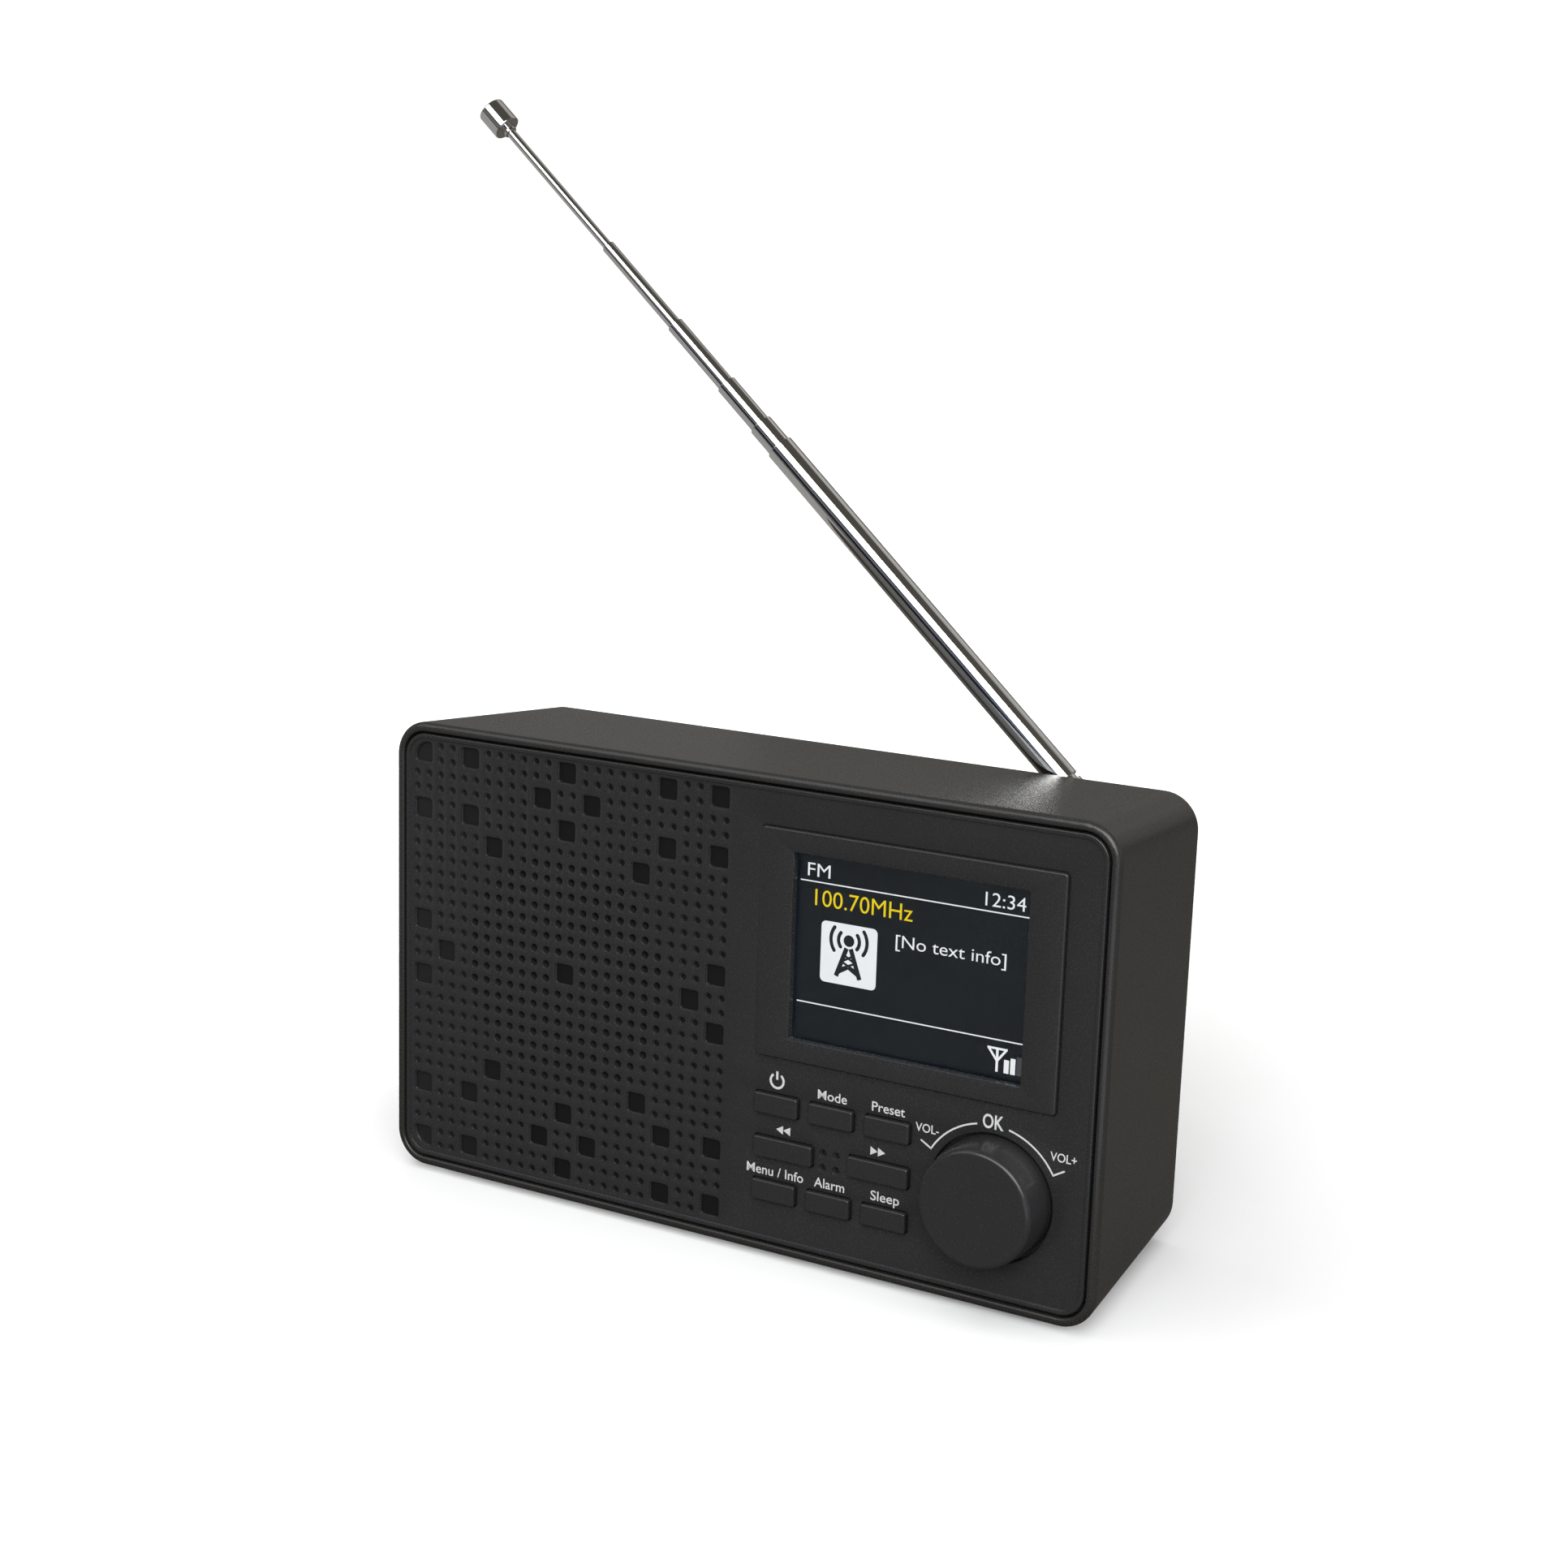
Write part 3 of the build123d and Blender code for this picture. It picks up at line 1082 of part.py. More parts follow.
def beside_antenna(offset):
    """Plane parallel to the antenna's side, where the hinge ears are drawn: local x is along."""
    return Plane(origin=PIVOT + ACROSS * offset, x_dir=ALONG, z_dir=ACROSS)


with BuildPart() as antenna_swivel:
    with BuildSketch(Plane(origin=(PIVOT_X, BOSS_FACE_Y + SWIVEL_GAP, PIVOT_Z), z_dir=(0, 1, 0))):
        Circle(SWIVEL_RADIUS)
    extrude(amount=SWIVEL_FLOOR_Y - BOSS_FACE_Y - SWIVEL_GAP)
    with BuildSketch(Plane(origin=(PIVOT_X, BOSS_FACE_Y + SWIVEL_GAP, PIVOT_Z), z_dir=(0, 1, 0))):
        Circle(STUD_RADIUS)
    extrude(amount=-(BOSS_FACE_Y + SWIVEL_GAP - STUD_END_Y))
    for side in (-1, 1):
        start = EAR_INNER if side > 0 else -EAR_OUTER
        with BuildSketch(beside_antenna(start)):
            Circle(TONGUE_RADIUS)
            with Locations((0, (PIVOT_Y - SWIVEL_FLOOR_Y) / 2)):
                Rectangle(2 * TONGUE_RADIUS, PIVOT_Y - SWIVEL_FLOOR_Y)
            Circle(PIN_RADIUS, mode=Mode.SUBTRACT)
        extrude(amount=EAR_OUTER - EAR_INNER)

antenna_swivel.part.label = "antenna_swivel"
export_step(antenna_swivel.part, "parts/antenna_swivel.step")

with BuildPart() as antenna_hinge_pin:
    with BuildSketch(beside_antenna(-EAR_OUTER)):
        Circle(PIN_RADIUS)
    extrude(amount=2 * EAR_OUTER)
    for start, height in ((-EAR_OUTER, -PIN_HEAD_HEIGHT), (EAR_OUTER, PIN_HEAD_HEIGHT)):
        with BuildSketch(beside_antenna(start)):
            Circle(PIN_HEAD_RADIUS)
        extrude(amount=height)

antenna_hinge_pin.part.label = "antenna_hinge_pin"
export_step(antenna_hinge_pin.part, "parts/antenna_hinge_pin.step")

with BuildPart() as antenna_knuckle:
    with BuildSketch(beside_antenna(-TONGUE_HALF)):
        Circle(TONGUE_RADIUS)
        with Locations((TONGUE_RADIUS, 0)):
            Rectangle(2 * TONGUE_RADIUS, 2 * TONGUE_RADIUS)
        Circle(PIN_RADIUS + SWIVEL_GAP, mode=Mode.SUBTRACT)
    extrude(amount=2 * TONGUE_HALF)
    with BuildSketch(across_antenna(COLLAR_START)):
        Circle(COLLAR_RADIUS)
    extrude(amount=COLLAR_END - COLLAR_START)
    with BuildSketch(across_antenna(COLLAR_END)):
        Circle(NECK_RADIUS)
    extrude(amount=TUBE_START - COLLAR_END)
    with BuildSketch(across_antenna(TUBE_START)):
        Circle(TUBE_RADII[0] - TUBE_WALL)
    extrude(amount=PLUG_LENGTH)

antenna_knuckle.part.label = "antenna_knuckle"
export_step(antenna_knuckle.part, "parts/antenna_knuckle.step")

ROLLED_END = 0.8            # length of each tube's rolled-in guide collar
TUBE_END_ROUNDING = 0.18
TUBE_CLEARANCE = 0.05
for number, (radius, top, length) in enumerate(zip(TUBE_RADII, TUBE_TOPS, TUBE_LENGTHS), start=1):
    with BuildPart() as antenna_tube:
        with BuildSketch(across_antenna(top - length)):
            Circle(radius)
        extrude(amount=length)
        fillet(antenna_tube.edges().filter_by(GeomType.CIRCLE), TUBE_END_ROUNDING)
        with BuildSketch(across_antenna(top - length)):
            Circle(radius - TUBE_WALL)
        extrude(amount=length - ROLLED_END, mode=Mode.SUBTRACT)
        with BuildSketch(across_antenna(top)):
            Circle(radius - TUBE_WALL - TUBE_CLEARANCE)
        extrude(amount=-ROLLED_END, mode=Mode.SUBTRACT)
    antenna_tube.part.label = f"antenna_tube_{number}"
    export_step(antenna_tube.part, f"parts/antenna_tube_{number}.step")

with BuildPart() as antenna_rod:
    with BuildSketch(across_antenna(CAP_BOTTOM - ROD_LENGTH)):
        Circle(ROD_RADIUS)
    extrude(amount=ROD_LENGTH)

antenna_rod.part.label = "antenna_rod"
export_step(antenna_rod.part, "parts/antenna_rod.step")

CAP_COLLAR_RADIUS, CAP_COLLAR_LENGTH = 1.4, 1.2
CAP_ROUNDING = 0.35
with BuildPart() as antenna_cap:
    with BuildSketch(across_antenna(CAP_BOTTOM)):
        Circle(CAP_RADIUS)
    extrude(amount=CAP_LENGTH)
    fillet(antenna_cap.edges().filter_by(GeomType.CIRCLE), CAP_ROUNDING)
    with BuildSketch(across_antenna(CAP_BOTTOM - CAP_COLLAR_LENGTH)):
        Circle(CAP_COLLAR_RADIUS)
    extrude(amount=CAP_COLLAR_LENGTH + 0.2)
    with BuildSketch(across_antenna(CAP_BOTTOM - CAP_COLLAR_LENGTH)):
        Circle(ROD_RADIUS)
    extrude(amount=CAP_COLLAR_LENGTH, mode=Mode.SUBTRACT)

antenna_cap.part.label = "antenna_cap"
export_step(antenna_cap.part, "parts/antenna_cap.step")

ANTENNA_WASHER_THICKNESS = 0.6
ANTENNA_NUT_THICKNESS = 2.2
stud_plane = Plane(origin=(PIVOT_X, BOSS_INNER_Y - 0.1, PIVOT_Z), x_dir=(-1, 0, 0), z_dir=(0, 1, 0))
with BuildPart() as antenna_washer:
    with BuildSketch(stud_plane):
        Circle(4.2)
        Circle(STUD_RADIUS, mode=Mode.SUBTRACT)
    extrude(amount=-ANTENNA_WASHER_THICKNESS)

antenna_washer.part.label = "antenna_washer"
export_step(antenna_washer.part, "parts/antenna_washer.step")

with BuildPart() as antenna_lock_nut:
    with BuildSketch(stud_plane.offset(-ANTENNA_WASHER_THICKNESS)):
        RegularPolygon(3.5, 6, major_radius=False)
        Circle(STUD_RADIUS, mode=Mode.SUBTRACT)
    extrude(amount=-ANTENNA_NUT_THICKNESS)

antenna_lock_nut.part.label = "antenna_lock_nut"
export_step(antenna_lock_nut.part, "parts/antenna_lock_nut.step")
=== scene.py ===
import json
import math
import bmesh
import bpy
from mathutils import Matrix, Vector
from mathutils.geometry import delaunay_2d_cdt


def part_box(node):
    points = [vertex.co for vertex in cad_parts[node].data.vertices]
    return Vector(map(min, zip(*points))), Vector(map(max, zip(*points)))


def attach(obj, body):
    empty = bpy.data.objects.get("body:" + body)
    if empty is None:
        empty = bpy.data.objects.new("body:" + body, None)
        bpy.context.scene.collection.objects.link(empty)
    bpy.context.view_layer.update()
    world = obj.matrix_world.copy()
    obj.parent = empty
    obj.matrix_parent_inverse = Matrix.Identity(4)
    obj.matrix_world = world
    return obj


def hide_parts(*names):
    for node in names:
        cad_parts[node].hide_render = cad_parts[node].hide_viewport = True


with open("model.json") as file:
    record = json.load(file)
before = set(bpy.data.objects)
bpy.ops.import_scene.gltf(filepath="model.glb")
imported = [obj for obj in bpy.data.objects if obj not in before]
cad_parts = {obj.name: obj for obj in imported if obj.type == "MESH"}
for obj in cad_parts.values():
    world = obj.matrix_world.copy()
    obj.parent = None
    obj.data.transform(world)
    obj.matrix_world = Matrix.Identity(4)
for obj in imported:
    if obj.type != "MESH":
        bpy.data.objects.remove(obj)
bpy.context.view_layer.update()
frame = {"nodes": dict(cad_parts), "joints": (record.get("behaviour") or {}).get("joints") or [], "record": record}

MM = 0.001

# ---------------------------------------------------------------- the leaning front, read from the frame
JOINTS = {joint["name"]: joint for joint in frame["joints"]}
RIGHT = Vector((1, 0, 0))
INWARD = Vector(JOINTS["power_press"]["axis"]).normalized()
UPWARD = RIGHT.cross(INWARD)


def span(node, direction):
    """Lowest and highest place of a CAD node along a direction, in millimetres."""
    places = [vertex.co.dot(direction) / MM for vertex in frame["nodes"][node].data.vertices]
    return min(places), max(places)


RIM_FRONT = span("cabinet", INWARD)[0]
MIDDLE = sum(span("cabinet", UPWARD)) / 2
FACE = Matrix.Translation((UPWARD * MIDDLE + INWARD * RIM_FRONT) * MM) @ Matrix(
    (RIGHT, UPWARD, -INWARD)
).transposed().to_4x4()


def u_span(node):
    return span(node, RIGHT)


def v_span(node):
    low, high = span(node, UPWARD)
    return low - MIDDLE, high - MIDDLE


def depths(node):
    low, high = span(node, INWARD)
    return low - RIM_FRONT, high - RIM_FRONT


def centre(node):
    return sum(u_span(node)) / 2, sum(v_span(node)) / 2


def size(node):
    """Width and height of a node on the front."""
    (left, right), (low, high) = u_span(node), v_span(node)
    return right - left, high - low


# ---------------------------------------------------------------- outlines, in millimetres on the front
def circle(middle, radius, steps=20):
    turn = 2 * math.pi / steps
    return [
        (middle[0] + radius * math.cos(turn * (i + 0.5)), middle[1] + radius * math.sin(turn * (i + 0.5)))
        for i in range(steps)
    ]


def rounded(middle, width, height, radii, steps=6):
    """A rectangle with rounded corners; radii start at the top right and go anticlockwise."""
    if not isinstance(radii, tuple):
        radii = (radii,) * 4
    points = []
    for quarter, (side, level) in enumerate(((1, 1), (-1, 1), (-1, -1), (1, -1))):
        radius = radii[quarter]
        for step in range(steps + 1):
            angle = math.radians(90 * (quarter + step / steps))
            points.append((
                middle[0] + side * (width / 2 - radius) + radius * math.cos(angle),
                middle[1] + level * (height / 2 - radius) + radius * math.sin(angle),
            ))
    return points


def disc(middle, radius, steps=20):
    """An outline that can grow: a circle."""
    return lambda grow=0.0: circle(middle, radius + grow, steps)


def box(middle, width, height, radii, steps=6):
    """An outline that can grow: a rounded rectangle."""
    if not isinstance(radii, tuple):
        radii = (radii,) * 4
    return lambda grow=0.0: rounded(
        middle, width + 2 * grow, height + 2 * grow, tuple(max(r + grow, 0.02) for r in radii), steps
    )


def arc_band(middle, radius, width, start, stop, steps):
    """A band along an arc, from one angle to another in degrees."""
    angles = [math.radians(start + (stop - start) * i / steps) for i in range(steps + 1)]
    outer, inner = (
        [(middle[0] + edge * math.cos(a), middle[1] + edge * math.sin(a)) for a in angles]
        for edge in (radius + width / 2, radius - width / 2)
    )
    return outer + inner[::-1]


def bar(start, end, width):
    """A straight stroke."""
    along = Vector(end) - Vector(start)
    side = along.orthogonal().normalized() * width / 2
    return [tuple(Vector(p) + side * s) for p, s in ((start, 1), (start, -1), (end, -1), (end, 1))]


class Shell:
    """Closed surfaces made of outlines at different heights, in millimetres."""

    def __init__(self):
        self.mesh = bmesh.new()

    def ring(self, outline, height):
        return [self.mesh.verts.new((x * MM, y * MM, height * MM)) for x, y in outline]

    def wall(self, lower, upper):
        for i in range(len(lower)):
            j = (i + 1) % len(lower)
            self.mesh.faces.new((lower[i], lower[j], upper[j], upper[i]))

    def sink(self, outline, profile):
        """Joins the outline at each (grow, height) of a profile; returns the first and last rings."""
        rings = [self.ring(outline(grow), height) for grow, height in profile]
        for lower, upper in zip(rings, rings[1:]):
            self.wall(lower, upper)
        return rings[0], rings[-1]

    def cap(self, ring, slot=0):
        self.mesh.faces.new(ring).material_index = slot

    def flat(self, rings):
        """Fills the area between an outer ring and the rings inside it."""
        corners, edges, owners = [], [], []
        for number, ring in enumerate(rings):
            first = len(corners)
            corners += ring
            owners += [number] * len(ring)
            edges += [(first + i, first + (i + 1) % len(ring)) for i in range(len(ring))]
        places = [Vector((vertex.co.x / MM, vertex.co.y / MM)) for vertex in corners]
        made = delaunay_2d_cdt(places, edges, [], 1, 1e-6)
        source = [ids[0] for ids in made[3]]
        for face in made[2]:
            triangle_corners = [source[i] for i in face]
            rings_met = {owners[i] for i in triangle_corners}
            if len(rings_met) > 1 or 0 in rings_met:    # else it lies inside a hole
                self.mesh.faces.new([corners[i] for i in triangle_corners])

    def plate(self, outlines, low, high):
        """A flat solid: the first outline is its edge, and the others are holes in it."""
        bottom = [self.ring(outline, low) for outline in outlines]
        top = [self.ring(outline, high) for outline in outlines]
        for lower, upper in zip(bottom, top):
            self.wall(lower, upper)
        self.flat(bottom)
        self.flat(top)

    def add(self, mesh, matrix):
        """Adds another mesh, such as a line of lettering."""
        mesh.transform(matrix)
        self.mesh.from_mesh(mesh)
        bpy.data.meshes.remove(mesh)

    def piece(self, name, materials, body, sharp=30):
        """Makes the object, placed on the front, that rides on a body."""
        bmesh.ops.recalc_face_normals(self.mesh, faces=self.mesh.faces)
        data = bpy.data.meshes.new(name)
        self.mesh.to_mesh(data)
        self.mesh.free()
        for material in materials:
            data.materials.append(material)
        data.shade_smooth()
        data.set_sharp_from_angle(angle=math.radians(sharp))
        made = bpy.data.objects.new(name, data)
        bpy.context.scene.collection.objects.link(made)
        made.matrix_world = FACE
        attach(made, body)
        return made


# ---------------------------------------------------------------- node helpers for materials
class Nodes:
    """A node tree and short calls that add to it."""

    def __init__(self, tree):
        self.tree = tree

    def node(self, kind, **settings):
        made = self.tree.nodes.new(kind)
        for key, value in settings.items():
            setattr(made, key, value)
        return made

    def link(self, output, target):
        self.tree.links.new(output, target)

    def ramp(self, factor, *stops):
        """A colour ramp through (position, colour) stops."""
        made = self.node("ShaderNodeValToRGB")
        elements = made.color_ramp.elements
        while len(elements) < len(stops):
            elements.new(0.5)
        for element, (position, colour) in zip(elements, stops):
            element.position = position
            element.color = (*colour, 1)
        self.link(factor, made.inputs["Fac"])
        return made.outputs["Color"]


class Surface(Nodes):
    """A principled material and short calls that add nodes to it."""

    def __init__(self, name, **values):
        self.material = bpy.data.materials.new(name)
        self.material.use_nodes = True
        super().__init__(self.material.node_tree)
        self.shader = self.tree.nodes["Principled BSDF"]
        for socket, value in values.items():
            self.shader.inputs[socket.replace("_", " ")].default_value = value
        self.place = self.node("ShaderNodeTexCoord").outputs["Object"]

    def stretched(self, scale):
        mapping = self.node("ShaderNodeMapping")
        mapping.inputs["Scale"].default_value = scale
        self.link(self.place, mapping.inputs["Vector"])
        return mapping.outputs["Vector"]

    def noise(self, size, detail=2.0, roughness=0.5, place=None):
        """Noise whose features are about this many millimetres across."""
        made = self.node("ShaderNodeTexNoise")
        made.inputs["Scale"].default_value = 1 / (size * MM)
        made.inputs["Detail"].default_value = detail
        made.inputs["Roughness"].default_value = roughness
        self.link(place or self.place, made.inputs["Vector"])
        return made.outputs["Fac"]

    def cells(self, size):
        made = self.node("ShaderNodeTexVoronoi", feature="F1")
        made.inputs["Scale"].default_value = 1 / (size * MM)
        self.link(self.place, made.inputs["Vector"])
        return made.outputs["Distance"]

    def between(self, factor, low, high, from_low=0.3, from_high=0.7):
        made = self.node("ShaderNodeMapRange")
        limits = (("From Min", from_low), ("From Max", from_high), ("To Min", low), ("To Max", high))
        for socket, value in limits:
            made.inputs[socket].default_value = value
        self.link(factor, made.inputs["Value"])
        return made.outputs["Result"]

    def along(self, axis, low, high):
        """Rises from 0 to 1 along an axis, between two places in metres."""
        split = self.node("ShaderNodeSeparateXYZ")
        self.link(self.place, split.inputs[0])
        return self.between(split.outputs[axis], 0.0, 1.0, low, high)

    def colour(self, output):
        self.link(output, self.shader.inputs["Base Color"])

    def roughness(self, output):
        self.link(output, self.shader.inputs["Roughness"])

    def bump(self, height, depth):
        """Bump of this depth in millimetres."""
        made = self.node("ShaderNodeBump")
        made.inputs["Distance"].default_value = depth * MM
        made.inputs["Strength"].default_value = 1.0
        self.link(height, made.inputs["Height"])
        self.link(made.outputs["Normal"], self.shader.inputs["Normal"])

    def glow(self, output, strength):
        self.link(output, self.shader.inputs["Emission Color"])
        self.shader.inputs["Emission Strength"].default_value = strength


def scaled(colour, factor):
    return tuple(channel * factor for channel in colour)


def moulded(name, colour, rough, grain=0.35, depth=0.012, specular=0.4):
    """Moulded plastic with a fine spark-eroded grain and a little mottling."""
    made = Surface(name, Specular_IOR_Level=specular)
    speckle = made.noise(grain, detail=3.0, roughness=0.65)
    clouds = made.noise(14.0, detail=3.0)
    mixed = made.node("ShaderNodeMath", operation="ADD")
    made.link(made.between(speckle, 0.0, 0.75), mixed.inputs[0])
    made.link(made.between(clouds, 0.0, 0.25), mixed.inputs[1])
    shades = ((0.1, scaled(colour, 0.88)), (0.55, colour), (0.95, scaled(colour, 1.14)))
    made.colour(made.ramp(mixed.outputs[0], *shades))
    made.roughness(made.between(speckle, rough - 0.05, rough + 0.07))
    made.bump(speckle, depth)
    return made.material


HOLLOW_LEFT, HOLLOW_RIGHT = -76.0, -15.0    # where the painted reflection leaves the floors lightest and darkest
# floor colours, lightest at the left: dark plastic with painted shade and a painted reflection
HOLLOW_PAINTED_SHADES = (
    (0.0, (0.0165, 0.0165, 0.017)),
    (0.5, (0.0055, 0.0055, 0.0057)),
    (1.0, (0.0065, 0.0065, 0.0067)),
)


def dark_floor_painted_reflection(name):
    """The smooth floors of the blind openings: a dark colour that is partly their own and partly painted shade,
    and a painted reflection that makes them darker towards the middle of the radio.
    """
    made = Surface(name, Specular_IOR_Level=0.3)
    grain = made.noise(0.5, detail=3.0)
    mixed = made.node("ShaderNodeMath", operation="MULTIPLY_ADD")
    mixed.inputs[1].default_value = 0.15
    made.link(grain, mixed.inputs[0])
    made.link(made.along("X", HOLLOW_LEFT * MM, HOLLOW_RIGHT * MM), mixed.inputs[2])
    made.colour(made.ramp(mixed.outputs[0], *HOLLOW_PAINTED_SHADES))
    made.roughness(made.between(grain, 0.28, 0.36))
    return made.material


def chrome(name):
    """Bright plating with faint lengthwise polishing marks."""
    made = Surface(name, Metallic=1.0)
    marks = made.noise(0.6, detail=4.0, roughness=0.6)
    made.colour(made.ramp(marks, (0.3, (0.80, 0.79, 0.77)), (0.7, (0.86, 0.855, 0.84))))
    made.roughness(made.between(marks, 0.045, 0.075))
    made.bump(marks, 0.0004)
    return made.material


def plated(name, dark, light, rough, size=0.5):
    """Plated or pressed steel with a mill grain."""
    made = Surface(name, Metallic=1.0)
    grain = made.noise(size, detail=5.0, roughness=0.7)
    made.colour(made.ramp(grain, (0.3, dark), (0.7, light)))
    made.roughness(made.between(grain, rough - 0.06, rough + 0.08))
    made.bump(grain, 0.004)
    return made.material


def circuit_board(name):
    made = Surface(name, Roughness=0.38, Coat_Weight=0.3)
    traces = made.node("ShaderNodeTexBrick")
    traces.inputs["Scale"].default_value = 1 / (6.0 * MM)
    traces.inputs["Mortar Size"].default_value = 0.06
    traces.inputs["Color1"].default_value = (0.012, 0.10, 0.035, 1)
    traces.inputs["Color2"].default_value = (0.016, 0.125, 0.045, 1)
    traces.inputs["Mortar"].default_value = (0.03, 0.20, 0.08, 1)
    made.link(made.place, traces.inputs["Vector"])
    made.colour(traces.outputs["Color"])
    made.bump(traces.outputs["Fac"], 0.03)
    return made.material


def ferrite(name):
    made = Surface(name, Metallic=0.3)
    grain = made.noise(0.25, detail=4.0, roughness=0.7)
    made.colour(made.ramp(grain, (0.3, (0.028, 0.028, 0.03)), (0.75, (0.075, 0.075, 0.08))))
    made.roughness(made.between(grain, 0.45, 0.65))
    made.bump(grain, 0.02)
    return made.material


def paper(name):
    """Pressed paper pulp of the loudspeaker cone."""
    made = Surface(name, Sheen_Weight=0.2)
    fibres = made.noise(0.5, detail=6.0, roughness=0.75, place=made.stretched((1.0, 0.25, 1.0)))
    made.colour(made.ramp(fibres, (0.3, (0.006, 0.006, 0.007)), (0.7, (0.018, 0.017, 0.016))))
    made.roughness(made.between(fibres, 0.75, 0.92))
    made.bump(fibres, 0.06)
    return made.material


def rubber(name, colour):
    made = Surface(name, Specular_IOR_Level=0.35)
    grain = made.noise(0.4, detail=4.0, roughness=0.7)
    made.colour(made.ramp(grain, (0.3, scaled(colour, 0.75)), (0.7, scaled(colour, 1.3))))
    made.roughness(made.between(grain, 0.7, 0.88))
    made.bump(grain, 0.03)
    return made.material


def foam(name):
    made = Surface(name, Sheen_Weight=0.15)
    pores = made.cells(0.45)
    made.colour(made.ramp(pores, (0.0, (0.01, 0.01, 0.011)), (0.6, (0.055, 0.055, 0.06))))
    made.roughness(made.between(pores, 0.8, 0.95))
    made.bump(pores, 0.12)
    return made.material


def winding(name):
    """Fine enamelled wire, wound closely."""
    made = Surface(name, Metallic=0.9)
    wires = made.node("ShaderNodeTexWave", bands_direction="Y")
    wires.inputs["Scale"].default_value = 1 / (3.0 * MM)
    wires.inputs["Distortion"].default_value = 0.4
    made.link(made.place, wires.inputs["Vector"])
    made.colour(made.ramp(wires.outputs["Fac"], (0.2, (0.30, 0.09, 0.03)), (0.8, (0.75, 0.30, 0.12))))
    made.roughness(made.between(wires.outputs["Fac"], 0.28, 0.42))
    made.bump(wires.outputs["Fac"], 0.04)
    return made.material


def ribbon(name):
    """Amber film with printed conductors."""
    made = Surface(name, Coat_Weight=0.4)
    tracks = made.node("ShaderNodeTexWave", bands_direction="X")
    tracks.inputs["Scale"].default_value = 1 / (6.0 * MM)
    made.link(made.place, tracks.inputs["Vector"])
    made.colour(made.ramp(tracks.outputs["Fac"], (0.35, (0.35, 0.14, 0.02)), (0.6, (0.55, 0.30, 0.10))))
    made.roughness(made.between(tracks.outputs["Fac"], 0.25, 0.4))
    made.bump(tracks.outputs["Fac"], 0.02)
    return made.material


def clear_lens(name):
    """Clear acrylic with the faintest haze."""
    made = Surface(name, IOR=1.49, Transmission_Weight=1.0, Specular_IOR_Level=0.3)
    haze = made.noise(6.0, detail=2.0)
    made.colour(made.ramp(haze, (0.3, (0.93, 0.96, 0.97)), (0.7, (0.96, 0.98, 0.99))))
    made.roughness(made.between(haze, 0.0, 0.012))
    return made.material


def screen(name):
    """The lit background of the display: blue black, a little uneven."""
    made = Surface(name, Specular_IOR_Level=0.2)
    pixels = made.noise(0.25, detail=1.0)
    clouds = made.noise(22.0, detail=1.0)
    made.colour(made.ramp(pixels, (0.3, (0.004, 0.006, 0.008)), (0.7, (0.006, 0.009, 0.011))))
    made.glow(made.ramp(clouds, (0.3, (0.0004, 0.0022, 0.0048)), (0.7, (0.0012, 0.0040, 0.0068))), 1.0)
    made.roughness(made.between(pixels, 0.3, 0.4))
    return made.material


def lit(name, colour):
    """Lit marks on the display, with a trace of its pixels."""
    made = Surface(name, Specular_IOR_Level=0.0, Roughness=0.6)
    pixels = made.noise(0.2, detail=1.0)
    made.colour(made.ramp(pixels, (0.3, scaled(colour, 0.05)), (0.7, scaled(colour, 0.06))))
    made.glow(made.ramp(pixels, (0.3, scaled(colour, 0.93)), (0.7, colour)), 1.0)
    return made.material


def ink(name, colour):
    """Pad printed ink, slightly uneven."""
    made = Surface(name, Specular_IOR_Level=0.3)
    grain = made.noise(0.22, detail=3.0, roughness=0.7)
    made.colour(made.ramp(grain, (0.3, scaled(colour, 0.9)), (0.7, colour)))
    made.roughness(made.between(grain, 0.5, 0.62))
    made.bump(grain, 0.004)
    return made.material


CHARCOAL = (0.0245, 0.0245, 0.0255)
WARM_CHARCOAL = (0.0245, 0.0238, 0.0225)
MATERIALS = {
    "case_plastic": moulded("case_plastic", WARM_CHARCOAL, 0.25, specular=0.5),
    "panel_plastic": moulded("panel_plastic", CHARCOAL, 0.24, depth=0.0012, specular=0.5),
    "button_plastic": moulded("button_plastic", CHARCOAL, 0.22, grain=0.3, depth=0.002, specular=0.5),
    "knob_plastic": moulded("knob_plastic", CHARCOAL, 0.22, grain=0.3, depth=0.002, specular=0.5),
    "frame_plastic": moulded("frame_plastic", CHARCOAL, 0.24, depth=0.0012, specular=0.5),
    "cover_plastic": moulded("cover_plastic", CHARCOAL, 0.52, grain=0.45, depth=0.018),
    "switch_plastic": moulded("switch_plastic", (0.02, 0.02, 0.022), 0.4, grain=0.2, depth=0.004),
    "socket_plastic": moulded("socket_plastic", (0.012, 0.012, 0.013), 0.4, grain=0.2, depth=0.004),
    "lens": clear_lens("lens"),
    "screen": screen("screen"),
    "pad_rubber": rubber("pad_rubber", (0.02, 0.02, 0.02)),
    "antenna_chrome": chrome("antenna_chrome"),
    "pcb_green": circuit_board("pcb_green"),
    "shield_steel": plated("shield_steel", (0.52, 0.52, 0.50), (0.66, 0.66, 0.64), 0.3),
    "screw_steel": plated("screw_steel", (0.30, 0.30, 0.31), (0.45, 0.45, 0.46), 0.35, size=0.3),
    "speaker_steel": plated("speaker_steel", (0.42, 0.43, 0.43), (0.58, 0.59, 0.58), 0.35),
    "ferrite": ferrite("ferrite"),
    "cone_paper": paper("cone_paper"),
    "surround_rubber": rubber("surround_rubber", (0.014, 0.014, 0.015)),
    "gasket_foam": foam("gasket_foam"),
    "coil_copper": winding("coil_copper"),
    "ribbon_film": ribbon("ribbon_film"),
}
HOLLOW = dark_floor_painted_reflection("hollow_floor_painted_shade")
PRINT = ink("print_grey", (0.72, 0.72, 0.725))
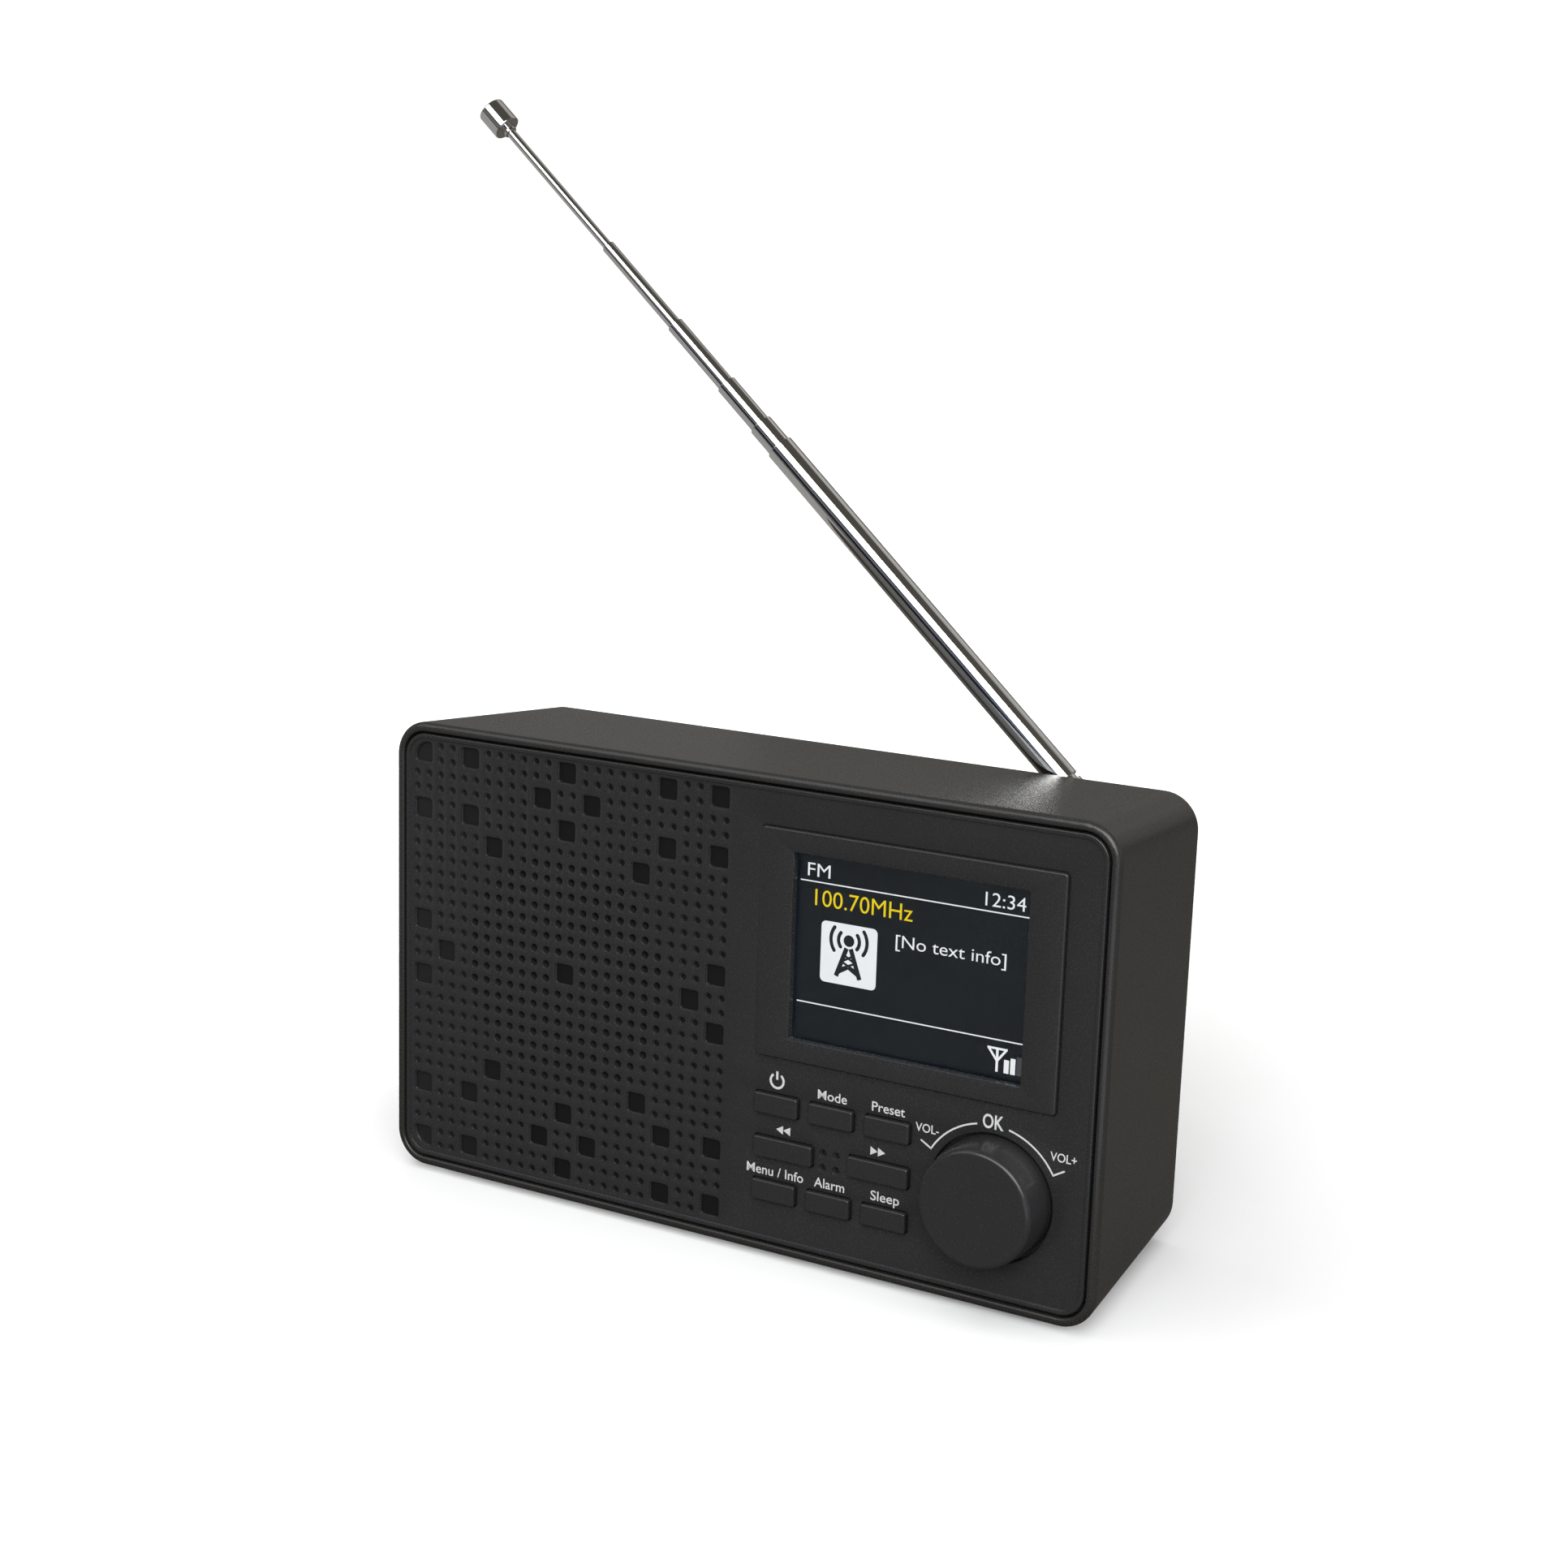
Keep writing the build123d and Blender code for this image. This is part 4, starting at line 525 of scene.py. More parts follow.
SCREEN_WHITE = lit("screen_white", (0.92, 0.93, 0.94))
SCREEN_YELLOW = lit("screen_yellow", (0.90, 0.66, 0.010))
SCREEN_DARK = lit("screen_dark", (0.012, 0.017, 0.02))
SCREEN_DIM = lit("screen_dim", (0.06, 0.065, 0.075))

for part in frame["record"]["subparts"]:
    node = frame["nodes"][part["node"]]
    node.data.materials.clear()
    node.data.materials.append(MATERIALS[part["material_slot"]])

# ---------------------------------------------------------------- front panel
PITCH = 3.0
COLUMNS, ROWS = 26, 30
GRID_LEFT, GRID_TOP = -75.95, 43.7
SQUARE_ROWS = {             # row: columns of the squares in it, counted in lattice steps
    1.5: (1.5, 5.5, 13.5, 21.5, 25.5),
    3.5: (11.5, 15.5),
    5.5: (1.5, 5.5, 13.5, 21.5, 25.5),
    7.5: (7.5, 19.5),
    13.5: (1.5, 25.5),
    15.5: (3.5, 13.5, 23.5),
}
OPEN_BORE, BLIND_BORE, SQUARE_BORE = 0.78, 0.6, 4.1
# profiles of the openings: (growth past the bore, depth below the field)
OPEN_MOUTH = ((0.16, 0), (0.06, 0.05), (0, 0.16))
BLIND_STEP = ((0.40, 0), (0.30, 0.03), (0.24, 0.12), (0.23, 0.27), (0.07, 0.31), (0.0, 0.4), (0.0, 0.65))
SQUARE_STEP = ((0.36, 0), (0.26, 0.03), (0.2, 0.12), (0.19, 0.27), (0.07, 0.3), (0.0, 0.38), (0.0, 0.8))
SQUARE_CORNER, OUTER_CORNER = 0.6, 3.3      # the two squares in the panel's corners follow its edge
OPEN_RADIUS = 24.4          # the lattice is open over the loudspeaker out to here
LIP_WIDTH, LIP_HEIGHT, LIP_ROUNDING = 0.95, 0.3, 0.28
PANEL_CORNER = 4.9
SPEAKER = centre("speaker_frame")
DISPLAY = centre("display_frame")
KNOB_AXIS = Vector(JOINTS["volume_turn"]["pos_m"]) / MM
KNOB = (KNOB_AXIS.x, KNOB_AXIS.dot(UPWARD) - MIDDLE)
LIP_TOP = -depths("front_panel")[0]
FIELD = LIP_TOP - LIP_HEIGHT
PANEL_REAR = -depths("display_frame")[1]
BUTTONS = [node for node in frame["nodes"] if node.endswith("_button")]
FLANGE = 0.8                # how far a button's hidden flange reaches past its cap


def button_face(node):
    """Centre, width and height of a button's cap."""
    width, height = size(node)
    return centre(node), width - 2 * FLANGE, height - 2 * FLANGE


def lattice(column, row):
    return GRID_LEFT + PITCH * (column - 1), GRID_TOP - PITCH * (row - 1)


def square_places():
    """The pattern of squares mirrors from top to bottom."""
    places = {(column, row) for row, columns in SQUARE_ROWS.items() for column in columns}
    return sorted(places | {(column, ROWS + 1 - row) for column, row in places})


def rounded_edge(height, radius, steps=5):
    """Profile of an outer edge that rounds over inwards to a flat at this height."""
    angles = [math.pi / 2 * i / steps for i in range(steps + 1)]
    return [(-radius * (1 - math.cos(a)), height - radius * (1 - math.sin(a))) for a in angles]


def below_field(profile):
    return [(grow, FIELD - depth) for grow, depth in profile]


def panel_holes(shell, square_list):
    """Round holes of the lattice: open over the loudspeaker, blind round it."""
    front, rear = [], []
    for column in range(1, COLUMNS + 1):
        for row in range(1, ROWS + 1):
            if any(abs(column - c) < 1 and abs(row - r) < 1 for c, r in square_list):
                continue
            place = lattice(column, row)
            if math.dist(place, SPEAKER) < OPEN_RADIUS:
                top, bottom = shell.sink(disc(place, OPEN_BORE), (*below_field(OPEN_MOUTH), (0, PANEL_REAR)))
                rear.append(bottom)
            else:
                top, bottom = shell.sink(disc(place, BLIND_BORE, 16), below_field(BLIND_STEP))
                shell.cap(bottom, 1)
            front.append(top)
    return front, rear


def panel_squares(shell, square_list):
    rings = []
    for column, row in square_list:
        radii = [SQUARE_CORNER] * 4
        if column == 1.5 and row == 1.5:
            radii[1] = OUTER_CORNER
        if column == 1.5 and row == ROWS - 0.5:
            radii[2] = OUTER_CORNER
        outline = box(lattice(column, row), SQUARE_BORE, SQUARE_BORE, tuple(radii))
        top, bottom = shell.sink(outline, below_field(SQUARE_STEP))
        shell.cap(bottom, 1)
        rings.append(top)
    return rings


FRAME_GAP, GROOVE_DEPTH, GROOVE_CORNER = 0.22, 0.5, 1.0
GROOVE = ((0.14, 0), (0.04, 0.04), (0, 0.14), (0, GROOVE_DEPTH))
PLUG_MARGIN, PLUG_CORNER = (2.8, 2.7), 1.2  # the opening behind the frame is this much smaller than it
BUTTON_CLEARANCE, BUTTON_CORNER = 0.2, 0.7
KNOB_RECESS, KNOB_RECESS_DEPTH, RECESS_FILLET = 12.8, 1.8, 0.2
BUSHING_HOLE = 3.7
SOFT_EDGE = 0.18            # rounding at the mouth of each opening
SOFT_MOUTH = ((SOFT_EDGE, 0), (SOFT_EDGE * 0.3, SOFT_EDGE * 0.3), (0, SOFT_EDGE))
SMALL_HOLES = [(23.05 + PITCH * i, -28.2 + PITCH * j) for i in (0, 1) for j in (0, 1)]
SMALL_HOLE = 0.9
SMALL_STEP = ((0, 0), (-0.1, 0.12), (-0.12, 0.45), (-0.38, 0.5), (-0.4, 1.6))


def frame_opening(shell):
    """A groove round the display frame, and the opening behind it for its plug."""
    width, height = size("display_frame")
    groove, under = shell.sink(
        box(DISPLAY, width + 2 * FRAME_GAP, height + 2 * FRAME_GAP, GROOVE_CORNER), below_field(GROOVE)
    )
    plug, rear = shell.sink(
        box(DISPLAY, width - PLUG_MARGIN[0], height - PLUG_MARGIN[1], PLUG_CORNER),
        ((0, FIELD - GROOVE_DEPTH), (0, PANEL_REAR)),
    )
    shell.flat([under, plug])
    return groove, rear


def button_opening(shell, node):
    middle, width, height = button_face(node)
    outline = box(middle, width + 2 * BUTTON_CLEARANCE, height + 2 * BUTTON_CLEARANCE, BUTTON_CORNER)
    return shell.sink(outline, (*below_field(SOFT_MOUTH), (0, PANEL_REAR)))


def knob_opening(shell):
    """A round recess for the knob, with a hole for the encoder's bushing."""
    floor = FIELD - KNOB_RECESS_DEPTH
    top, bottom = shell.sink(
        disc(KNOB, KNOB_RECESS, 96),
        (*below_field(SOFT_MOUTH), (0, floor + RECESS_FILLET), (-RECESS_FILLET, floor)),
    )
    hole, rear = shell.sink(disc(KNOB, BUSHING_HOLE, 48), ((0, floor), (0, PANEL_REAR)))
    shell.flat([bottom, hole])
    return top, rear


def panel_openings(shell):
    """Openings for the display frame, buttons and knob, and four small blind holes between the buttons."""
    through = [frame_opening(shell), *(button_opening(shell, node) for node in BUTTONS), knob_opening(shell)]
    front = [top for top, _ in through]
    for place in SMALL_HOLES:
        top, bottom = shell.sink(disc(place, SMALL_HOLE, 24), below_field(SMALL_STEP))
        shell.cap(bottom)
        front.append(top)
    return front, [rear for _, rear in through]


# posts behind the panel: (radius, pilot radius, pilot depth)
CORNER_POST, CORNER_PLACE, CORNER_END = (2.8, 1.25, 14.0), (72.0, 38.9), 20.0
SPEAKER_POST, SPEAKER_EAR = (2.6, 0.8, 3.1), 21.57
BOARD_POST, BOARD_ACROSS, BOARD_UP = (2.0, 0.8, 6.0), (8.0, 66.0), (-11.7, -40.4)
BRACKET_POST, BRACKET_REACH = (2.0, 0.8, 3.4), 33.0
POST_CHAMFER = 0.2


def panel_posts():
    """Place, depth of the end and shape of each screw post."""
    gasket = depths("speaker_gasket")[1]
    board, bracket = depths("control_board")[0], depths("display_bracket")[0]
    posts = []
    for side in (-1, 1):
        for level in (-1, 1):
            posts.append(((side * CORNER_PLACE[0], level * CORNER_PLACE[1]), CORNER_END, CORNER_POST))
            ear = (SPEAKER[0] + side * SPEAKER_EAR, SPEAKER[1] + level * SPEAKER_EAR)
            posts.append((ear, gasket, SPEAKER_POST))
    posts += [((u, v), board, BOARD_POST) for u in BOARD_ACROSS for v in BOARD_UP]
    posts += [((DISPLAY[0] + side * BRACKET_REACH, DISPLAY[1]), bracket, BRACKET_POST) for side in (-1, 1)]
    return posts


def panel_bosses(shell):
    rings = []
    for place, end, (radius, pilot, pilot_depth) in panel_posts():
        root, tip = shell.sink(
            disc(place, radius, 24), ((0, PANEL_REAR), (0, -end + POST_CHAMFER), (-POST_CHAMFER, -end))
        )
        mouth, bottom = shell.sink(disc(place, pilot, 24), ((0, -end), (0, -end + pilot_depth)))
        shell.flat([tip, mouth])
        shell.cap(bottom)
        rings.append(root)
    return rings


def front_panel():
    """The front moulding, with its openings and the screw posts behind it."""
    shell = Shell()
    rear, field = shell.sink(
        box(centre("front_panel"), *size("front_panel"), PANEL_CORNER, 12),
        (
            (0, PANEL_REAR),
            *rounded_edge(LIP_TOP, LIP_ROUNDING),
            # softened inner edge of the lip, and its foot on the field
            (-LIP_WIDTH + 0.12, LIP_TOP),
            (-LIP_WIDTH + 0.03, LIP_TOP - 0.05),
            (-LIP_WIDTH, LIP_TOP - 0.13),
            (-LIP_WIDTH - 0.02, FIELD + 0.04),
            (-LIP_WIDTH - 0.08, FIELD),
        ),
    )
    squares = square_places()
    front_holes, rear_holes = panel_holes(shell, squares)
    front_openings, rear_openings = panel_openings(shell)
    shell.flat([field, *front_holes, *panel_squares(shell, squares), *front_openings])
    shell.flat([rear, *rear_holes, *rear_openings, *panel_bosses(shell)])
    # slot 1: the floors of the blind openings, with painted shade and a painted reflection
    looks = [MATERIALS["panel_plastic"], HOLLOW]
    made = shell.piece("front_panel_moulding", looks, "case")
    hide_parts("front_panel")


front_panel()

FRAME_CORNER, FRAME_ROUNDING = 0.8, 0.36
FRAME_PLUG, FRAME_PLUG_CORNER = (60.6, 42.8), 1.0
WINDOW, WINDOW_CORNER, WINDOW_ROUNDING = (49.3, 37.3), 0.4, 0.25
LENS_PLAY, LENS_CORNER = 0.4, 0.3           # the rebate is this much larger than the lens


def display_frame():
    """The raised frame: rounded outside, a crisp window edge, and a rebate behind for the lens."""
    shell = Shell()
    front, back = (-depth for depth in depths("display_frame"))
    lens_front = -depths("display_window")[0]
    lens = [side + LENS_PLAY for side in size("display_window")]
    foot, top = shell.sink(
        box(DISPLAY, *size("display_frame"), FRAME_CORNER, 8),
        ((0, FIELD), *rounded_edge(front, FRAME_ROUNDING)),
    )
    sight, behind = shell.sink(
        box(DISPLAY, *WINDOW, WINDOW_CORNER),
        (
            (WINDOW_ROUNDING, front),
            (0.3 * WINDOW_ROUNDING, front - 0.3 * WINDOW_ROUNDING),
            (0, front - WINDOW_ROUNDING),
            (0, lens_front),
        ),
    )
    shell.flat([top, sight])
    rebate, rear_inner = shell.sink(box(DISPLAY, *lens, LENS_CORNER), ((0, lens_front), (0, back)))
    shell.flat([rebate, behind])
    neck, rear_outer = shell.sink(box(DISPLAY, *FRAME_PLUG, FRAME_PLUG_CORNER), ((0, FIELD), (0, back)))
    shell.flat([foot, neck])
    shell.flat([rear_outer, rear_inner])
    made = shell.piece("display_frame_moulding", [MATERIALS["frame_plastic"]], "case")
    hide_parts("display_frame")


display_frame()

# ---------------------------------------------------------------- lettering and marks
INK_THICKNESS = 0.03


def text_mesh(text, weight):
    """A filled, thin, solid mesh of one line of text at size 1."""
    curve = bpy.data.curves.new("lettering", "FONT")
    curve.body = text
    curve.offset = weight
    curve.extrude = 0.5
    curve.resolution_u = 4
    holder = bpy.data.objects.new("lettering", curve)
    bpy.context.scene.collection.objects.link(holder)
    bpy.context.view_layer.update()
    mesh = bpy.data.meshes.new_from_object(holder.evaluated_get(bpy.context.evaluated_depsgraph_get()))
    bpy.data.objects.remove(holder)
    return mesh


def reach(mesh, axis):
    places = [vertex.co[axis] for vertex in mesh.vertices]
    return min(places), max(places)


def letter_height():
    mesh = text_mesh("H", 0.0)
    height = reach(mesh, 1)[1]
    bpy.data.meshes.remove(mesh)
    return height


CAPITAL = letter_height()


def write(shell, text, middle, baseline, cap, width, floor, weight):
    """Adds text of a cap height and width, centred at middle, its back at the floor height."""
    mesh = text_mesh(text, weight)
    low, high = reach(mesh, 0)
    scale = Vector((width / (high - low), cap / CAPITAL, INK_THICKNESS))
    offset = Vector((middle - (low + high) / 2 * scale.x, baseline, floor + INK_THICKNESS / 2))
    shell.add(mesh, Matrix.Translation(offset * MM) @ Matrix.Diagonal((*(scale * MM), 1)))


LABEL_GAP = 1.0             # from a button's top edge to the label's baseline
LABELS = {                  # button: (text, width, cap height)
    "mode_button": ("Mode", 6.4, 1.85),
    "preset_button": ("Preset", 7.1, 1.85),
    "menu_button": ("Menu / Info", 12.8, 1.9),
    "alarm_button": ("Alarm", 6.7, 1.9),
    "sleep_button": ("Sleep", 6.2, 1.9),
}
KNOB_LABELS = (             # text, distance across and up from the knob, cap height, width, weight
    ("OK", 0.0, 13.75, 2.65, 4.3, 0.016),
    ("VOL-", -13.55, 10.15, 1.65, 4.9, 0.008),
    ("VOL+", 14.45, 10.15, 1.65, 5.3, 0.008),
)
POWER_MARK = (-0.15, 1.75)  # its centre, from the button's middle and its label's baseline
POWER_RADIUS, POWER_LINE = 1.45, 0.48
POWER_SWEEP, POWER_STROKE = (125, 415), (0.25, 1.95)    # the ring is open at the top, where the stroke is
SKIP_LEVEL, SKIP_SIZE, SKIP_STEP = 0.9, (1.55, 1.75), 1.62
SKIP_LEFT, SKIP_BACK = 0.3, 0.05
ARC_RADIUS, ARC_LINE = 14.5, 0.34
ARC_START, ARC_STOP = 13, 60                # degrees from upright, on each side
TICK = (14.33, 17.1)        # radii of the ticks that end the arc


def triangle(tip, direction, length, height):
    x, y = tip
    return [(x, y), (x - direction * length, y + height / 2), (x - direction * length, y - height / 2)]


def label_foot(node):
    """Middle and baseline of the label over a button."""
    (u, v), _, height = button_face(node)
    return u, v + height / 2 + LABEL_GAP


def power_mark(shell, top):
    u, v = label_foot("power_button")
    mark = (u + POWER_MARK[0], v + POWER_MARK[1])
    shell.plate([arc_band(mark, POWER_RADIUS, POWER_LINE, *POWER_SWEEP, 40)], FIELD, top)
    low, high = ((mark[0], mark[1] + rise) for rise in POWER_STROKE)
    shell.plate([bar(low, high, POWER_LINE)], FIELD, top)


def skip_marks(shell, top):
    for node, direction in (("rewind_button", -1), ("forward_button", 1)):
        u, v = label_foot(node)
        for shift in (0.0, SKIP_STEP):
            tip = u - SKIP_LEFT + direction * (shift - SKIP_BACK)
            shell.plate([triangle((tip, v + SKIP_LEVEL), direction, *SKIP_SIZE)], FIELD, top)


def volume_arc(shell, top):
    """The broken arc round the knob, with a tick at each end."""
    for side in (-1, 1):
        start, stop = 90 - side * ARC_START, 90 - side * ARC_STOP
        shell.plate([arc_band(KNOB, ARC_RADIUS, ARC_LINE, start, stop, 28)], FIELD, top)
        angle = math.radians(stop)
        ray = Vector((math.cos(angle), math.sin(angle)))
        inner, outer = (Vector(KNOB) + ray * radius for radius in TICK)
        shell.plate([bar(tuple(inner), tuple(outer), ARC_LINE)], FIELD, top)


def panel_prints():
    shell = Shell()
    top = FIELD + INK_THICKNESS
    for node, (text, width, cap) in LABELS.items():
        write(shell, text, *label_foot(node), cap, width, FIELD, weight=0.007)
    power_mark(shell, top)
    skip_marks(shell, top)
    volume_arc(shell, top)
    for text, across, up, cap, width, weight in KNOB_LABELS:
        write(shell, text, KNOB[0] + across, KNOB[1] + up, cap, width, FIELD, weight=weight)
    shell.piece("panel_prints", [PRINT], "case", sharp=40)


panel_prints()

# ---------------------------------------------------------------- what the display shows
SCREEN_RECESS = 0.15
SCREEN_FLOOR = -depths("display_module")[0] - SCREEN_RECESS
SCREEN_TOP = SCREEN_FLOOR + INK_THICKNESS
# places on the display are to the right of its centre and up from it
WHITE_TEXT = (              # text, place, cap height, width
    ("FM", (-20.25, 14.0), 2.6, 4.9),
    ("12:34", (18.9, 14.0), 2.6, 8.2),
    ("[No text info]", (8.15, 3.0), 2.4, 22.9),
)
YELLOW_TEXT = (("100.70MHz", (-10.45, 8.4), 3.2, 20.9),)
RULE_LEVELS, RULE_MIDDLE, RULE_SIZE = (13.0, -11.2), 0.25, (48.9, 0.24)
TILE_PLACE, TILE_SIZE, TILE_CORNER = (-13.25, -0.35), 12.1, 1.0
MARK_CORNER = 0.05
AERIAL, AERIAL_FOOT, AERIAL_FORK, AERIAL_HEAD = 18.75, -17.4, -15.3, -12.9
FORK_REACH, HEAD_REACH = 1.85, 2.05
AERIAL_LINE, FORK_LINE, HEAD_LINE = 0.5, 0.45, 0.42
SIGNAL_BARS, DIM_BAR = ((20.2, 2.6), (21.5, 3.1)), (22.75, 3.6)     # left edge and height of each
BAR_WIDTH = 1.0
MAST_BALL, BALL_RADIUS = (-13.25, 2.45), 1.15
# the mast's strokes: places across and up from its ball, and widths
LEG_TOP, LEG_FOOT, LEG_LINE = (0.45, -1.5), (2.55, -7.3), 0.95
BRACE_TOP, BRACE_FOOT, BRACE_LINE = -5.3, (2.2, -6.6), 0.6
WAVES, WAVE_LINE = ((2.25, 38), (3.9, 36)), 0.72    # radius and half the angle of each wave
STRUTS = ((0.95, -2.9, -1.35), (1.4, -4.3, -1.5))   # place across and up of each, and its rise
STRUT_REACH, STRUT_LINE = 0.5, 0.45


def on_display(across, up):
    return DISPLAY[0] + across, DISPLAY[1] + up


def screen_text(shell, lines):
    for text, place, cap, width in lines:
        write(shell, text, *on_display(*place), cap, width, SCREEN_FLOOR, weight=-0.004)


def signal_bar(shell, left, height):
    middle = (DISPLAY[0] + left + BAR_WIDTH / 2, DISPLAY[1] + AERIAL_FOOT + height / 2)
    shell.plate([rounded(middle, BAR_WIDTH, height, MARK_CORNER, 2)], SCREEN_FLOOR, SCREEN_TOP)


def aerial_mark(shell):
    """An aerial with its lit signal bars, at the lower right."""
    foot, head = on_display(AERIAL, AERIAL_FOOT), DISPLAY[1] + AERIAL_HEAD
    fork = (foot[0], DISPLAY[1] + AERIAL_FORK)
    strokes = [
        bar(foot, (foot[0], head), AERIAL_LINE),
        *(bar(fork, (foot[0] + side * FORK_REACH, head), FORK_LINE) for side in (-1, 1)),
        bar((foot[0] - HEAD_REACH, head), (foot[0] + HEAD_REACH, head), HEAD_LINE),
    ]
    for stroke in strokes:
        shell.plate([stroke], SCREEN_FLOOR, SCREEN_TOP)
    for left, height in SIGNAL_BARS:
        signal_bar(shell, left, height)


def mast_strokes():
    """A transmitter mast and its waves, drawn on the white tile."""
    x, y = ball = on_display(*MAST_BALL)
    strokes = [circle(ball, BALL_RADIUS, 32)]
    for side in (0, 180):
        for radius, half in WAVES:
            strokes.append(arc_band(ball, radius, WAVE_LINE, side - half, side + half, 14))
            for end in (side - half, side + half):
                tip = (x + radius * math.cos(math.radians(end)), y + radius * math.sin(math.radians(end)))
                strokes.append(circle(tip, WAVE_LINE / 2, 14))
    for side in (-1, 1):
        leg = [(x + side * across, y + up) for across, up in (LEG_TOP, LEG_FOOT)]
        strokes.append(bar(*leg, LEG_LINE))
        for across, start, rise in STRUTS:
            end = (x + side * (across + STRUT_REACH), y + start + rise)
            strokes.append(bar((x - side * across, y + start), end, STRUT_LINE))
        foot = (x + side * BRACE_FOOT[0], y + BRACE_FOOT[1])
        strokes.append(bar((x, y + BRACE_TOP), foot, BRACE_LINE))
    return strokes


def display_marks():
    white = Shell()
    screen_text(white, WHITE_TEXT)
    for level in RULE_LEVELS:
        rule = rounded(on_display(RULE_MIDDLE, level), *RULE_SIZE, MARK_CORNER, 2)
        white.plate([rule], SCREEN_FLOOR, SCREEN_TOP)
    tile = rounded(on_display(*TILE_PLACE), TILE_SIZE, TILE_SIZE, TILE_CORNER)
    white.plate([tile], SCREEN_FLOOR, SCREEN_TOP)
    aerial_mark(white)
    white.piece("screen_marks_white", [SCREEN_WHITE], "case", sharp=40)

    yellow = Shell()
    screen_text(yellow, YELLOW_TEXT)
    yellow.piece("screen_marks_yellow", [SCREEN_YELLOW], "case", sharp=40)

    dim = Shell()
    signal_bar(dim, *DIM_BAR)
    dim.piece("screen_marks_dim", [SCREEN_DIM], "case", sharp=40)

    dark = Shell()
    for stroke in mast_strokes():
        dark.plate([stroke], SCREEN_TOP, SCREEN_TOP + INK_THICKNESS)
    dark.piece("screen_marks_dark", [SCREEN_DARK], "case", sharp=40)


display_marks()

# ---------------------------------------------------------------- studio
CAMERA_PLACE = (0.23692, -0.40972, 0.21888)
CAMERA_AZIMUTH, CAMERA_ELEVATION = 29.83, 15.18
CAMERA_LENS, CAMERA_SENSOR = 56.52, 36
AIM_HEIGHT = 0.08           # lights and cards face this height over the middle of the floor
CORNERS = ((-1, -1), (1, -1), (1, 1), (-1, 1))      # of a rectangle, anticlockwise


def aim(made, direction):
    made.rotation_mode = "QUATERNION"
    made.rotation_quaternion = Vector(direction).to_track_quat("-Z", "Y")


def direction_from(azimuth, elevation):
    """Unit vector from the object towards an azimuth and elevation in degrees."""
    a, e = math.radians(azimuth), math.radians(elevation)
    return Vector((math.sin(a) * math.cos(e), -math.cos(a) * math.cos(e), math.sin(e)))


def face_object(made, azimuth, elevation, distance):
    """Puts a light or a card on one side of the object, facing it."""
    towards = direction_from(azimuth, elevation)
    made.location = Vector((0, 0, AIM_HEIGHT)) + towards * distance
    aim(made, -towards)


def camera():
    data = bpy.data.cameras.new("camera")
    data.lens = CAMERA_LENS
    data.sensor_width = CAMERA_SENSOR
    data.clip_start, data.clip_end = 0.01, 50
    made = bpy.data.objects.new("camera", data)
    bpy.context.scene.collection.objects.link(made)
    made.location = CAMERA_PLACE
    aim(made, -direction_from(CAMERA_AZIMUTH, CAMERA_ELEVATION))
    bpy.context.scene.camera = made


def softbox(name, azimuth, elevation, distance, width, height, brightness, colour=(1, 1, 1)):
    """An even rectangle of light that faces the object and doesn't show in reflections."""
    data = bpy.data.lights.new(name, "AREA")
    data.shape = "RECTANGLE"
    data.size, data.size_y = width, height
    data.energy = brightness * width * height * math.pi
    data.color = colour
    made = bpy.data.objects.new(name, data)
    bpy.context.scene.collection.objects.link(made)
    face_object(made, azimuth, elevation, distance)
    made.visible_camera = False
    made.visible_glossy = False


def rectangle(name, corners, material):
    """A flat piece of the stage."""
    data = bpy.data.meshes.new(name)
    data.from_pydata(corners, [], [(0, 1, 2, 3)])
    data.materials.append(material)
    made = bpy.data.objects.new(name, data)
    bpy.context.scene.collection.objects.link(made)
    return made


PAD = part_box("base_pad")
FOOTPRINT = (               # middle of the base pad, and half its size
    ((PAD[0][0] + PAD[1][0]) / 2, (PAD[0][1] + PAD[1][1]) / 2, 0.0),
    ((PAD[1][0] - PAD[0][0]) / 2, (PAD[1][1] - PAD[0][1]) / 2, 1.0),
)
FLOOR_HALF = 6.0
FLOOR_SEEN, FLOOR_PATCH, FLOOR_BOUNCE = -0.0001, -0.0002, -0.0004       # heights
FLOOR_COLOUR, BOUNCE_COLOUR = (0.74, 0.74, 0.74), (0.11, 0.103, 0.093)
FAR_GLOW, FAR_TRACE = (0.10, 0.5), 0.04     # it rises from this trace to full between these distances
FRONT_GLOW, FRONT_STRENGTH = (-0.02, 0.05), 0.23
FRONT_AXIS = (0.35, 0.94, 0.0)              # painted light: the front glow brightens the floor in front and to the left and fades out along this direction
PAINTED_SHADOW_WIDTH = 0.007        # painted contact shadow: the front glow is held back this near to the base, so the floor there stays darker


def outside(made, centre, half):
    """Distance outside a flat rectangle, nought under it."""
    value = made.place
    steps = (("SUBTRACT", centre), ("ABSOLUTE", None), ("SUBTRACT", half), ("MAXIMUM", (0, 0, 0)))
    for operation, operand in steps:
        step = made.node("ShaderNodeVectorMath", operation=operation)
        made.link(value, step.inputs[0])
        if operand:
            step.inputs[1].default_value = operand
        value = step.outputs["Vector"]
    length = made.node("ShaderNodeVectorMath", operation="LENGTH")
    made.link(value, length.inputs[0])
    return length.outputs["Value"]


